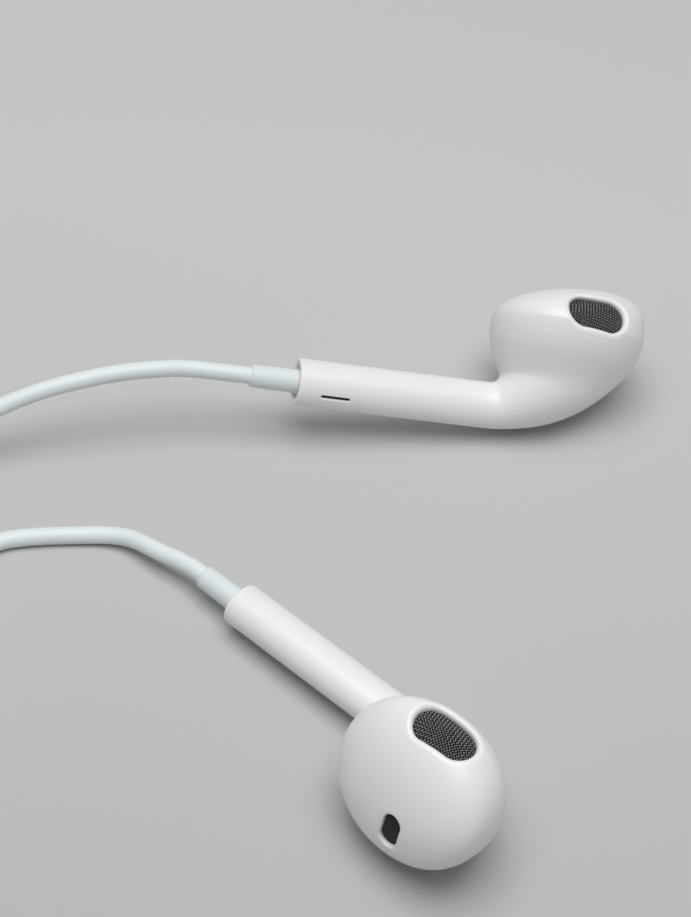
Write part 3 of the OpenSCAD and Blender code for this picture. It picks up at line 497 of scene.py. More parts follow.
def neck_ring(t, inset, sides=RING):
    c, s = section(mix(2, HEAD_SQUARE, t), sides)
    turn = math.radians((90 - SEAM_TILT) * t)
    far = mix(NECK_RISE + STEM_DEEP / 2, HEAD_MID + BASE_LEN / 2, t**HEEL_CURVE) - inset
    near = mix(NECK_RISE - STEM_DEEP / 2, NECK_BEND, t) + inset
    wide = mix(STEM_WIDE_NECK, BASE_WIDE, t) / 2 - inset
    r = (far + near) / 2 - (far - near) / 2 * c
    w = HEAD_SIDE * NECK_SHARE * t + wide * s
    return np.stack([STEM_LEN + r * math.sin(turn), NECK_RISE - r * math.cos(turn), w], 1)


def head_point(p, h, w):
    tilt = math.radians(SEAM_TILT)
    return np.stack(
        [
            STEM_LEN + p * math.cos(tilt) + h * math.sin(tilt),
            NECK_RISE - p * math.sin(tilt) + h * math.cos(tilt),
            w + 0 * p,
        ],
        -1,
    )


def wall_side(h):
    return HEAD_SIDE * mix(NECK_SHARE, 1, h / HEAD_RISE)


def wall_half(h):
    """Half length and half width of the head's wall at height h."""
    draw = np.clip((HEAD_RISE - h) / HEAD_RISE, 0, 1) ** 2
    return mix(HEAD_LEN, BASE_LEN, draw) / 2, mix(HEAD_WIDE, BASE_WIDE, draw) / 2


def wall_ring(h, inset, sides=RING):
    c, s = section(HEAD_SQUARE, sides)
    long, wide = wall_half(h)
    return head_point(HEAD_MID - (long - inset) * c, h + 0 * c, wall_side(h) + (wide - inset) * s)


def dome_ring(up, inset, sides=RING):
    c, s = section(HEAD_SQUARE, sides)
    k = math.sqrt(max(1 - up * up, 0))
    return head_point(
        HEAD_MID + DOME_LEAN * up * up - (HEAD_LEN / 2 - inset) * k * c,
        HEAD_RISE + (DOME_RISE - inset) * up + 0 * c,
        HEAD_SIDE + DOME_SIDE * up * up + (HEAD_WIDE / 2 - inset) * k * s,
    )


def head_level(points, inset=0.0):
    """Below 0 inside the head's skin, above 0 outside it."""
    tilt = math.radians(SEAM_TILT)
    x, y, w = points[..., 0] - STEM_LEN, points[..., 1] - NECK_RISE, points[..., 2]
    p = x * math.cos(tilt) - y * math.sin(tilt)
    h = x * math.sin(tilt) + y * math.cos(tilt)
    up = np.clip((h - HEAD_RISE) / (DOME_RISE - inset), 0, None)
    long, wide = wall_half(h)
    low = np.minimum(h, HEAD_RISE)
    a = np.abs((p - HEAD_MID - DOME_LEAN * up * up) / (long - inset))
    b = np.abs((w - wall_side(low) - DOME_SIDE * up * up) / (wide - inset))
    return (a**HEAD_SQUARE + b**HEAD_SQUARE) ** (2 / HEAD_SQUARE) + up * up - 1


def stem_level(points, inset=0.0):
    wide = mix(STEM_WIDE_END, STEM_WIDE_NECK, points[..., 0] / STEM_LEN)
    return (points[..., 1] / (STEM_DEEP / 2 - inset)) ** 2 + (points[..., 2] / (wide / 2 - inset)) ** 2 - 1


def outward(level, points):
    """Unit normals of a skin."""
    small = 1e-3
    slope = np.stack(
        [level(points + small * axis) - level(points - small * axis) for axis in np.eye(3)], -1
    )
    return slope / np.linalg.norm(slope, axis=-1, keepdims=True)


def faired(rings, start, end, ramp, passes):
    """Rings evened out along the skin between two of them, fading over a ramp."""
    i = np.arange(len(rings))
    share = smooth_step((i - start) / ramp) * smooth_step((end - i) / ramp)
    for _ in range(passes):
        even = rings.copy()
        even[1:-1] = (rings[:-2] + 2 * rings[1:-1] + rings[2:]) / 4
        rings = rings + share[:, None, None] * (even - rings)
    return rings


SEAM_EDGE = ((0.036, 0.0), (0.018, 0.004), (0.007, 0.012), (0.0, 0.027), (0.0, 0.35))


def rear_skin():
    """The rear shell, neck and stem as a closed loop of rings, from the rim outside to the rim inside."""
    stem = [stem_ring(x, 0) for x in np.linspace(RIM_ROUND, STEM_LEN, 64)[:-1]]
    neck = [neck_ring(t, 0) for t in np.linspace(0, 1, 72)]
    wall = [wall_ring(h, 0) for h in np.linspace(0, SEAM_RISE - SEAM_EDGE[0][0], 24)[1:]]
    outer = np.array(stem + neck + wall)
    bend = len(stem) + len(neck)
    outer = faired(outer, len(stem) - 16, bend + 16, 14, 60)
    seam = [wall_ring(SEAM_RISE - low, inset) for low, inset in SEAM_EDGE[1:]]
    inner = [wall_ring(SEAM_RISE, SHELL_WALL), wall_ring(1.5, SHELL_WALL + 0.4)]
    inner += [neck_ring(t, mix(STEM_WALL, SHELL_WALL, t) + 0.4 * t) for t in np.linspace(0.9, 0, 10)]
    stop = RIM_RECESS + END_WALL
    inner += [stem_ring(STEM_LEN / 2, STEM_WALL), stem_ring(stop, STEM_WALL)]
    inner += [round_ring(stop, HOLE_D / 2), round_ring(RIM_RECESS + 0.08, HOLE_D / 2)]
    inner += [round_ring(RIM_RECESS, HOLE_D / 2 + 0.08), stem_ring(RIM_RECESS, STEM_WALL + 0.08)]
    inner += [stem_ring(RIM_RECESS - 0.08, STEM_WALL)]
    turns = np.radians(np.linspace(0, 90, 5))
    rim = [stem_ring(RIM_ROUND * (1 - math.sin(a)), STEM_WALL - RIM_ROUND * (1 - math.cos(a))) for a in turns]
    rim += [stem_ring(RIM_ROUND * (1 - math.cos(a)), RIM_ROUND * (1 - math.sin(a))) for a in turns[:-1]]
    return np.concatenate([outer, np.array(seam + inner + rim)])


def front_skin():
    """The front cover as a closed skin, from the middle of its top outside to the middle inside."""
    apex = dome_ring(1.0, 0, 1)
    ups = np.sin(np.radians(np.linspace(89, 0, 60)))
    outer = [dome_ring(up, 0) for up in ups]
    outer += [wall_ring(h, 0) for h in np.linspace(HEAD_RISE, SEAM_RISE + SEAM_EDGE[0][0], 7)[1:]]
    seam = [wall_ring(SEAM_RISE + low, inset) for low, inset in SEAM_EDGE[1:]]
    lip = [wall_ring(SEAM_RISE, SHELL_WALL + LIP_GAP), wall_ring(SEAM_RISE - LIP_DEEP, SHELL_WALL + LIP_GAP)]
    lip += [wall_ring(SEAM_RISE - LIP_DEEP, COVER_THICK)]
    inner = [dome_ring(math.sin(math.radians(a)), COVER_THICK) for a in np.linspace(0, 85, 12)]
    return apex, np.array(outer + seam + lip + inner), dome_ring(1.0, COVER_THICK, 1)


# Openings
def pill(long, wide, count):
    """Points round a pill and the directions outwards at them, evenly spaced."""
    run, r = (long - wide) / 2, wide / 2
    lengths = np.linspace(0, 4 * run + 2 * np.pi * r, count, endpoint=False)
    points, ways = [], []
    for s in lengths:
        if s < 2 * run:
            points.append((run - s, r)), ways.append((0, 1))
        elif s < 2 * run + np.pi * r:
            a = np.pi / 2 + (s - 2 * run) / r
            points.append((-run + r * np.cos(a), r * np.sin(a))), ways.append((np.cos(a), np.sin(a)))
        elif s < 4 * run + np.pi * r:
            points.append((s - 2 * run - np.pi * r - run, -r)), ways.append((0, -1))
        else:
            a = -np.pi / 2 + (s - 4 * run - np.pi * r) / r
            points.append((run + r * np.cos(a), r * np.sin(a))), ways.append((np.cos(a), np.sin(a)))
    return np.array(points), np.array(ways)


def in_pill(points, long, wide):
    run, r = (long - wide) / 2, wide / 2
    past = np.maximum(np.abs(points[..., 0]) - run, 0)
    return past**2 + points[..., 1] ** 2 < r * r


class Opening:
    """An opening's own frame: x along it, z out of the skin it goes through."""

    def __init__(self, sizes, level, at, frame):
        self.sizes, self.level = sizes, level
        self.at, self.frame = np.asarray(at, float), np.asarray(frame, float)

    def to_bud(self, points):
        return np.asarray(points) @ self.frame.T + self.at

    def height(self, flat, inset=0.0):
        """Height of the skin over points of the opening's plane."""
        low, high = np.full(len(flat), -4.0), np.full(len(flat), 2.0)
        for _ in range(48):
            mid = (low + high) / 2
            out = self.level(self.to_bud(np.column_stack([flat, mid])), inset) > 0
            high, low = np.where(out, mid, high), np.where(out, low, mid)
        return (low + high) / 2


def degrees_matrix(*turns):
    """Turns as (axis, degrees), applied from the last to the first."""
    m = Matrix.Identity(3)
    for axis, degrees in turns:
        m = m @ Matrix.Rotation(math.radians(degrees), 3, axis)
    return np.array(m)


def head_opening(sizes):
    c, s = math.cos(math.radians(sizes["round"])), math.sin(math.radians(sizes["round"]))
    c, s = (math.copysign(abs(v) ** (2 / HEAD_SQUARE), v) for v in (c, s))
    up, k = sizes["up"], math.sqrt(1 - sizes["up"] ** 2)
    at = head_point(
        np.array(HEAD_MID + DOME_LEAN * up * up - HEAD_LEN / 2 * k * c),
        np.array(HEAD_RISE + DOME_RISE * up),
        np.array(HEAD_SIDE + DOME_SIDE * up * up + HEAD_WIDE / 2 * k * s),
    )
    turn = degrees_matrix(("Z", -SEAM_TILT), ("X", sizes["tilt"] - 90), ("Z", sizes["turn"]))
    return Opening(sizes, head_level, at, turn)


def stem_opening(sizes):
    down = math.radians(sizes["down"])
    deep, wide = STEM_DEEP / 2, mix(STEM_WIDE_END, STEM_WIDE_NECK, sizes["at"] / STEM_LEN) / 2
    reach = math.hypot(deep * math.sin(down), wide * math.cos(down))
    at = (sizes["at"], -deep * deep * math.sin(down) / reach, wide * wide * math.cos(down) / reach)
    return Opening(sizes, stem_level, at, degrees_matrix(("X", sizes["down"])))


SOUND_OPENING, PORT_OPENING, SLOT_OPENING = head_opening(SOUND), head_opening(PORT), stem_opening(SLOT)


def cutter(opening, reach, count=128):
    """A pill-shaped block through the skin, as wide as the opening with its rounded lip."""
    sizes = opening.sizes
    flat, _ = pill(sizes["long"] + 2 * sizes["lip"], sizes["wide"] + 2 * sizes["lip"], count)
    ends = (-sizes["deep"] - reach, CUT_OUT)
    rings = [opening.to_bud(np.column_stack([flat, np.full(count, z)])) for z in ends]
    return np.concatenate(rings), capped_faces(2, count)


def lip_ring(opening, below, count=160):
    """The opening's rounded lip and its wall, as a closed ring of rings, with its normals."""
    sizes = opening.sizes
    r = sizes["lip"]
    flat, out = pill(sizes["long"] + 2 * r, sizes["wide"] + 2 * r, count)
    rings, normals = [], []
    for a in np.radians(np.linspace(0, 90, 13)):
        at = flat - out * r * math.sin(a)
        top = opening.height(at)
        rings.append(opening.to_bud(np.column_stack([at, top - r * (1 - math.cos(a))])))
        skin = outward(opening.level, opening.to_bud(np.column_stack([at, top])))
        inwards = np.column_stack([-out, np.zeros(count)]) @ opening.frame.T
        normal = skin * math.cos(a) + inwards * math.sin(a)
        normals.append(normal / np.linalg.norm(normal, axis=1, keepdims=True))
    low = opening.height(flat) - sizes["deep"] - below
    for at, way in ((flat - out * r, -out), (flat, out)):
        rings.append(opening.to_bud(np.column_stack([at, low])))
        normals.append(np.column_stack([way, np.zeros(count)]) @ opening.frame.T)
    return np.concatenate(rings), ring_faces(len(rings), count, loop=True), np.concatenate(normals)


def cut_skin(points, faces, cutters):
    """A closed skin with blocks cut out of it, as points and faces."""

    def temporary(name, pts, fcs):
        thing = bpy.data.objects.new(name, closed_mesh(name, pts, fcs))
        bpy.context.scene.collection.objects.link(thing)
        return thing

    whole = temporary("whole_skin", points, faces)
    blocks = [temporary("cut_block", p, f) for p, f in cutters]
    for block in blocks:
        cut = whole.modifiers.new("cut", "BOOLEAN")
        cut.operation, cut.solver, cut.object = "DIFFERENCE", "EXACT", block
    graph = bpy.context.evaluated_depsgraph_get()
    made = bpy.data.meshes.new_from_object(whole.evaluated_get(graph))
    points = np.array([v.co for v in made.vertices])
    faces = [tuple(p.vertices) for p in made.polygons]
    for thing in [whole, *blocks]:
        mesh = thing.data
        bpy.data.objects.remove(thing)
        bpy.data.meshes.remove(mesh)
    bpy.data.meshes.remove(made)
    return points, faces


def own_normals(points, faces):
    """A mesh's vertex normals."""
    mesh = closed_mesh("shading", points, faces)
    normals = np.array([n.vector for n in mesh.vertex_normals])
    bpy.data.meshes.remove(mesh)
    return normals


def skin_normals(points, faces, level, near):
    """Vertex normals that follow the true skin where a point lies on it."""
    normals = own_normals(points, faces)
    on = (np.abs(level(points)) < 1e-3) & near(points)
    normals[on] = outward(level, points[on])
    return normals


def joined(*parts):
    """Several (points, faces, normals) as one."""
    points, faces, normals, first = [], [], [], 0
    for p, f, n in parts:
        points.append(p)
        normals.append(n)
        faces += [tuple(i + first for i in face) for face in f]
        first += len(p)
    return np.concatenate(points), faces, np.concatenate(normals)


def heaped(parts):
    """Several (points, faces) as one."""
    return joined(*[(p, f, np.zeros_like(p)) for p, f in parts])[:2]


def front_cover_parts():
    apex, rings, inside = front_skin()
    count = len(rings)
    points = np.concatenate([rings.reshape(-1, 3), apex, inside])
    top, bottom, last = count * RING, count * RING + 1, (count - 1) * RING
    faces = ring_faces(count, RING)
    for j in range(RING):
        k = (j + 1) % RING
        faces += [(top, j, k), (bottom, last + k, last + j)]
    blocks = [cutter(SOUND_OPENING, HEAD_CUT), cutter(PORT_OPENING, HEAD_CUT)]
    points, faces = cut_skin(points, faces, blocks)
    normals = skin_normals(points, faces, head_level, lambda p: p[:, 1] > NECK_RISE)
    return joined((points, faces, normals), lip_ring(SOUND_OPENING, 0.5), lip_ring(PORT_OPENING, 0.5))


def rear_housing_parts():
    rings = rear_skin()
    points = rings.reshape(-1, 3)
    faces = ring_faces(len(rings), RING, loop=True)
    points, faces = cut_skin(points, faces, [cutter(SLOT_OPENING, SLOT_CUT, 64)])
    near = lambda p: (p[:, 0] > RIM_ROUND) & (p[:, 0] < STEM_LEN - 8)
    normals = skin_normals(points, faces, stem_level, near)
    return joined((points, faces, normals), lip_ring(SLOT_OPENING, 0.25, 96))


def make_shells():
    plans = {"front_cover": front_cover_parts(), "rear_housing": rear_housing_parts()}
    for part, (points, faces, normals) in plans.items():
        for side in BUDS:
            name = f"{side}_{part}"
            piece = make_piece(
                name + "_shell", in_place(side, points), faces, ["shell_plastic"], [name]
            )
            turn = np.array(bud_matrix(side))[:3, :3]
            piece.data.normals_split_custom_set_from_vertices([tuple(n) for n in normals @ turn.T])


make_shells()


# Woven meshes
def wire(line, away, radius):
    """A four-sided wire along a line of points, away being the direction across it in the mesh's plane."""
    up = np.array([0.0, 0.0, 1.0])
    rings = [line + radius * d for d in (away, up, -away, -up)]
    return np.stack(rings, 1)


def weave(opening, pitch, angle, radius, inset, seat):
    """Crossed wires that go over and under each other on a layer under the skin, in the opening's frame."""
    long, wide = opening.sizes["long"] + 2 * seat, opening.sizes["wide"] + 2 * seat
    reach = math.hypot(long, wide) / 2
    points, faces, first = [], [], 0
    for family, degrees in enumerate((angle, angle + 90)):
        a = math.radians(degrees)
        way, away = np.array([math.cos(a), math.sin(a)]), np.array([-math.sin(a), math.cos(a)])
        lanes = int(reach / pitch)
        for lane in range(-lanes, lanes + 1):
            s = np.arange(-reach, reach, pitch / 3)
            flat = s[:, None] * way + lane * pitch * away
            inside = in_pill(flat, long, wide)
            if inside.sum() < 4:
                continue
            s, flat = s[inside], flat[inside]
            over = np.cos(np.pi * (s / pitch + lane + family))
            z = opening.height(flat, inset) + radius * (over - 1)
            line = np.column_stack([flat, z])
            rings = wire(line, np.array([*away, 0]), radius)
            points.append(rings.reshape(-1, 3))
            faces += ring_faces(len(rings), 4, first=first)
            last = first + 4 * (len(rings) - 1)
            faces += [tuple(range(first, first + 4)), tuple(range(last + 3, last - 1, -1))]
            first += 4 * len(rings)
    return np.concatenate(points), faces


def backing(opening, inset, seat, rings=10, count=64):
    """A thin dark cloth behind the wires, as a closed plate that follows the same layer."""
    flat, _ = pill(opening.sizes["long"] + 2 * seat, opening.sizes["wide"] + 2 * seat, count)
    layers = []
    for drop, shares in ((0.0, np.linspace(0.04, 1, rings)), (0.06, np.linspace(1, 0.04, rings))):
        for share in shares:
            z = opening.height(flat * share, inset) - drop
            layers.append(np.column_stack([flat * share, z]))
    last = (len(layers) - 1) * count
    faces = ring_faces(len(layers), count)
    faces += [tuple(range(count)), tuple(range(last + count - 1, last - 1, -1))]
    return np.concatenate(layers), faces


def make_meshes():
    plans = {
        "speaker_mesh": (SOUND_OPENING, 0.24, 38, 0.052, 0.75, 0.25, "woven_wire"),
        "port_mesh": (PORT_OPENING, 0.2, 45, 0.045, 0.55, 0.2, "port_wire"),
    }
    for part, (opening, pitch, angle, radius, inset, seat, finish) in plans.items():
        wires, wire_faces = weave(opening, pitch, angle, radius, inset, seat)
        cloth, cloth_faces = backing(opening, inset + 4.2 * radius, seat)
        points, faces = heaped([(wires, wire_faces), (cloth, cloth_faces)])
        which = [0] * len(wire_faces) + [1] * len(cloth_faces)
        for side in BUDS:
            name = f"{side}_{part}"
            make_piece(
                name + "_weave", in_place(side, opening.to_bud(points)), faces,
                [finish, "acoustic_cloth"], [name], face_finish=which,
            )


make_meshes()


# Sleeves, ties and other pieces on the cords
def lathe(profile, sides=64):
    """A closed ring turned round x from (x, radius) points, the last joined to the first."""
    rings = np.array([round_ring(x, r, sides) for x, r in profile])
    return rings.reshape(-1, 3), ring_faces(len(rings), sides, loop=True)


def sleeve_profile(start, end, start_r, end_r, bore_r, edge):
    """A tapered sleeve with rounded edges, from its thin end to its thick end."""
    turns = np.radians(np.linspace(0, 90, 6))
    thin = [(start + edge * (1 - math.cos(a)), start_r - edge * (1 - math.sin(a))) for a in turns]
    body = [(mix(start + edge, end, t), mix(start_r, end_r, t)) for t in np.linspace(0, 1, 14)[1:]]
    return [(start, bore_r), *thin, *body, (end, bore_r)]


def make_reliefs():
    for side in BUDS:
        profile = sleeve_profile(
            -RELIEF_LEN, RIM_RECESS + END_WALL, RELIEF_TIP_D / 2, RELIEF_D / 2, CORD_D / 2 + 0.03, 0.3
        )
        points, faces = lathe(profile)
        name = f"{side}_strain_relief"
        make_piece(
            name + "_sleeve", in_place(side, points), faces, ["soft_sleeve"], [name]
        )


make_reliefs()


def tie_strap(coil, degrees):
    """A ribbed rubber loop round the bundle of a coil."""
    half_long = (coil.pitch * coil.turns + coil.thick) / 2 + TIE_GAP + TIE_T / 2
    half_high = (coil.step * (coil.layers - 1) + coil.thick) / 2 + TIE_GAP + TIE_T / 2
    corner = coil.thick / 2 + TIE_T / 2
    corners = ((1, 1, 0), (-1, 1, 90), (-1, -1, 180), (1, -1, 270))
    middle, ways = [], []
    for sx, sy, start in corners:
        for a in np.radians(np.linspace(start, start + 90, 12)):
            way = np.array([math.cos(a), math.sin(a)])
            middle.append(np.array([sx * (half_long - corner), sy * (half_high - corner)]) + corner * way)
            ways.append(way)
    across = np.linspace(-1, 1, 25)
    edge = np.sqrt(np.clip(1 - np.abs(across) ** 8, 0, 1))
    ribs = 1 - 0.22 * (0.5 + 0.5 * np.cos(across * 4 * np.pi))
    outer = list(zip(across * TIE_WIDE / 2, TIE_T / 2 * edge * ribs))
    inner = [(x, -y) for x, y in zip(across[::-1] * TIE_WIDE / 2, TIE_T / 2 * edge[::-1])][1:-1]
    profile = outer + inner
    rings = [
        [np.array([m[0] + w[0] * y, x, m[1] + w[1] * y]) for x, y in profile] for m, w in zip(middle, ways)
    ]
    points = np.array(rings).reshape(-1, 3)
    mid_r = coil.inner + coil.pitch * coil.turns / 2
    points = points + np.array([mid_r, 0, half_high + TIE_T / 2])
    return turned(points, (0, 0, degrees), (*coil.middle, 0)), ring_faces(len(rings), len(profile), loop=True)


def make_ties():
    straps = [tie_strap(LEFT_COIL, 90), tie_strap(RIGHT_COIL, 90), tie_strap(MAIN_COIL, 270)]
    points, faces = heaped(straps)
    make_piece("coil_ties", points, faces, ["tie_rubber"], ["cord_ties"])


make_ties()


# Remote, split and plug
REMOTE_AT, REMOTE_LEN, REMOTE_WIDE, REMOTE_THICK = (-52.5, -24, 0), 34.0, 6.8, 5.4
REMOTE_CORNER, REMOTE_WALL = 1.6, 0.8
KEY_WIDE, KEY_LEN, CENTRE_KEY_LEN, KEY_BAR, KEY_GAP, KEY_CORNER, KEY_TOP = 3.2, 6.4, 4.6, 1.4, 0.15, 0.8, 5.7
END_KEY_X = CENTRE_KEY_LEN / 2 + KEY_BAR + 2 * KEY_GAP + KEY_LEN / 2
KEYS = {
    "key_up": (-END_KEY_X, KEY_LEN), "key_centre": (0.0, CENTRE_KEY_LEN), "key_down": (END_KEY_X, KEY_LEN),
}
KEY_BODIES = {"key_up": "up_key", "key_centre": "centre_key", "key_down": "down_key"}
SPLIT_AT, SPLIT_LEN, SPLIT_WIDE, SPLIT_THICK = (-98, 4.5, 0), 14.0, 6.4, 4.0
SPLIT_CORNER, SPLIT_PITCH = 1.4, 3.0
# Half width of the innermost outline on a flat face, and how far a flat runs in from its rounded edge
FLAT_HALF, FLAT_EDGE = 1.0, 0.3


def stacked(outline, profile):
    """A closed skin of outlines drawn in and raised along a profile of (inset, height)."""
    rings = []
    for inset, z in profile:
        flat = outline(inset)
        rings.append(np.column_stack([flat, np.full(len(flat), z)]))
    return np.concatenate(rings), capped_faces(len(rings), len(rings[0]))


def soft_rectangle(long, wide, corner, steps=9):
    """Points round a rectangle with rounded corners."""
    corner = max(corner, 0.06)
    points = []
    for sx, sy, start in ((1, 1, 0), (-1, 1, 90), (-1, -1, 180), (1, -1, 270)):
        for a in np.radians(np.linspace(start, start + 90, steps)):
            x, y = sx * (long / 2 - corner), sy * (wide / 2 - corner)
            points.append((x + corner * math.cos(a), y + corner * math.sin(a)))
    return np.array(points)


def rounded(corner, low, steps=9):
    """A quarter round from a flat underside to an upright side, as (inset, height)."""
    turns = np.radians(np.linspace(0, 90, steps))
    return [(corner * (1 - math.sin(a)), low + corner * (1 - math.cos(a))) for a in turns]


def bore(at, radius, reach, count=48):
    """A round block along x, to cut a bore."""
    rings = [round_ring(x, radius, count) + np.array(at) for x in (-reach, reach)]
    return np.concatenate(rings), capped_faces(2, count)


def remote_shell(count=160):
    """The lower half of the remote's case, open upwards, its seam edge broken."""
    half, middle, edge = REMOTE_WIDE / 2, REMOTE_THICK / 2, 0.06
    inner = REMOTE_CORNER - REMOTE_WALL
    profile = [(half - FLAT_HALF, 0), (REMOTE_CORNER + FLAT_EDGE, 0), *rounded(REMOTE_CORNER, 0)]
    profile += [(0, middle - 2 * edge), (0, middle - edge), (edge / 2, middle - edge / 3), (edge, middle)]
    profile += [(REMOTE_WALL, middle)]
    profile += [(REMOTE_WALL + i, z) for i, z in rounded(inner, REMOTE_WALL)[::-1]]
    profile += [(half - FLAT_HALF, REMOTE_WALL)]
    return stacked(lambda i: pill(REMOTE_LEN - 2 * i, REMOTE_WIDE - 2 * i, count)[0], profile)


def make_remote():
    points, faces = remote_shell()
    bore_r, reach = CORD_D / 2 + BORE_GAP, 2 * REMOTE_WALL
    ends = [bore((side * REMOTE_LEN / 2, 0, REMOTE_THICK / 2), bore_r, reach) for side in (-1, 1)]
    windows = []
    for x, long in KEYS.values():
        gap = 2 * KEY_GAP
        outline = soft_rectangle(long + gap, KEY_WIDE + gap, KEY_CORNER + KEY_GAP) + np.array([x, 0])
        windows.append(stacked(lambda i: outline, [(0, REMOTE_THICK - 2.5), (0, REMOTE_THICK + 1)]))
    over = points * np.array([1, 1, -1]) + np.array([0, 0, REMOTE_THICK])
    for name, skin, cuts in (("remote_back", points, ends), ("remote_front", over, ends + windows)):
        cut_points, cut_faces = cut_skin(skin, faces, cuts)
        make_piece(
            name + "_shell", turned(cut_points, (0, 0, 90), REMOTE_AT), cut_faces, ["shell_plastic"],
            [name], crisp=30,
        )
    for name, (x, long) in KEYS.items():
        edge, brim = 0.3, KEY_TOP - 0.04
        dish = -0.08 if name == "key_centre" else 0.04
        profile = [(0, 4.0), (0, KEY_TOP - 0.34)]
        profile += [(edge - i, brim - z) for i, z in rounded(edge, 0)[::-1]][1:]
        profile += [(i, brim + dish * smooth_step((i - edge) / 1.1)) for i in (0.5, 0.7, 0.9, 1.1, 1.3, 1.45)]
        cap, cap_faces = stacked(
            lambda i: soft_rectangle(long - 2 * i, KEY_WIDE - 2 * i, KEY_CORNER - i), profile
        )
        cap = cap + np.array([x, 0, 0])
        make_piece(
            name + "_cap", turned(cap, (0, 0, 90), REMOTE_AT), cap_faces, ["shell_plastic"],
            [name], body=KEY_BODIES[name],
        )


def make_split():
    half, count = SPLIT_WIDE / 2, 144
    low = [(half - FLAT_HALF, 0), (SPLIT_CORNER + FLAT_EDGE, 0), *rounded(SPLIT_CORNER, 0)]
    profile = low + [(i, SPLIT_THICK - z) for i, z in low[::-1]]
    points, faces = stacked(lambda i: pill(SPLIT_LEN - 2 * i, SPLIT_WIDE - 2 * i, count)[0], profile)
    middle = SPLIT_THICK / 2
    thin_r, main_r, reach = CORD_D / 2 + BORE_GAP, MAIN_D / 2 + BORE_GAP, 4.9
    cuts = [bore((SPLIT_LEN / 2, s * SPLIT_PITCH / 2, middle), thin_r, reach) for s in (-1, 1)]
    cuts.append(bore((-SPLIT_LEN / 2, 0, middle), main_r, reach))
    points, faces = cut_skin(points, faces, cuts)
    make_piece(
        "y_split_body", points + np.array(SPLIT_AT), faces, ["shell_plastic"], ["y_split"],
        crisp=30,
    )


def turned_edge(x, r, edge, way, steps=6):
    """A rounded edge of a turned piece: way 1 opens it at its start, -1 closes it at its end."""
    turns = np.radians(np.linspace(0, 90, steps))
    run = [(x + way * edge * (1 - math.sin(a)), r - edge * (1 - math.cos(a))) for a in turns[::-1]]
    return run if way > 0 else run[::-1]


# The plug along its axis: where the grip starts and ends, the collar's end, the three bands and the tip
GRIP_START, GRIP_END, COLLAR_END, BANDS, BAND_LEN, TIP_START = 7.0, 22.0, 22.5, (25.7, 28.5, 31.3), 0.6, 31.9
GRIP_R, COLLAR_R, SHAFT_R, CORE_R = 2.7, 2.3, 1.75, 0.6


def contact(start, end, r, edge=0.05):
    """A hollow turned ring round the plug's core."""
    return [(start, CORE_R), *turned_edge(start, r, edge, 1), *turned_edge(end, r, edge, -1), (end, CORE_R)]


def make_plug():
    shaft, bore_r = SHAFT_R, MAIN_D / 2 + BORE_GAP
    grip = [(GRIP_START, bore_r), *turned_edge(GRIP_START, GRIP_R, 0.5, 1)]
    grip += [*turned_edge(GRIP_END, GRIP_R, 0.5, -1), (GRIP_END, bore_r)]
    collar = [(GRIP_END, CORE_R), *turned_edge(GRIP_END, COLLAR_R, 0.12, 1)]
    collar += [*turned_edge(COLLAR_END, COLLAR_R, 0.12, -1), (COLLAR_END, shaft)]
    collar += [(BANDS[0] - 0.05, shaft), (BANDS[0], shaft - 0.05), (BANDS[0], CORE_R)]
    run = np.linspace(0, 1, 9)
    tip = [(TIP_START, CORE_R), (TIP_START, shaft - 0.05), (TIP_START + 0.05, shaft), (32.3, shaft)]
    tip += [(mix(32.3, 33.1, t), shaft - 0.3 * shaft * smooth_step(t)) for t in run[1:]]
    tip += [(mix(33.1, 34.1, t), 0.7 * shaft + 0.3 * shaft * smooth_step(t)) for t in run[1:]]
    tip += [(34.35, shaft), (34.5, shaft - 0.02), (34.62, shaft - 0.09)]
    tip += [(mix(34.62, 35.85, t), mix(shaft - 0.09, 0.5, t)) for t in run[1:]]
    tip += [(35.94, 0.38), (35.99, 0.22), (36.0, 0.02), (32.0, 0.02)]
    bands = [contact(start, start + BAND_LEN, shaft - 0.02, 0.02) for start in BANDS]
    relief = sleeve_profile(0.0, GRIP_START, 1.8, 2.25, bore_r, 0.35)
    rear, front = (contact(a + BAND_LEN, b, shaft) for a, b in zip(BANDS, BANDS[1:]))
    gold = "contact_gold"
    plans = [
        ("plug_relief_sleeve", [relief], "soft_sleeve", "soft_white", "plug_relief"),
        ("plug_grip_body", [grip], "shell_plastic", "housing_white", "plug_grip"),
        ("plug_sleeve_contact", [collar], gold, gold, "plug_sleeve"),
        ("plug_ring_rear_contact", [rear], gold, gold, "plug_ring_rear"),
        ("plug_ring_front_contact", [front], gold, gold, "plug_ring_front"),
        ("plug_tip_contact", [tip], gold, gold, "plug_tip"),
        ("plug_insulator_bands", bands, "band_plastic", "band_dark", "plug_insulators"),
    ]
    for name, profiles, finish, slot, node in plans:
        points, faces = heaped([lathe(profile) for profile in profiles])
        make_piece(name, turned(points, (0, 0, -90), PLUG_AT), faces, [finish], [node], crisp=40)


make_remote()
make_split()
make_plug()


# Finishes of the CAD nodes that stay
def finish_nodes():
    finishes = {"remote_board": "circuit_board", "key_domes": "contact_gold", "microphone": "pressed_steel"}
    parts = {
        "vent_mesh": "acoustic_cloth", "driver_frame": "frame_plastic", "driver_cup": "pressed_steel",
        "magnet": "magnet_nickel", "top_plate": "pressed_steel", "voice_coil": "copper_wire",
        "diaphragm": "membrane_film", "driver_seal": "seal_foam", "cable_stop": "pressed_steel",
    }
    for side in BUDS:
        finishes.update({f"{side}_{part}": finish for part, finish in parts.items()})
    for node, finish in finishes.items():
        mesh = frame["nodes"][node].data
        mesh.materials.clear()
        mesh.materials.append(MATERIALS[finish])


finish_nodes()
for cord, start, length, thick, far_end, lay, held in cords:
    cord.data.materials.append(MATERIALS["cord_jacket"])


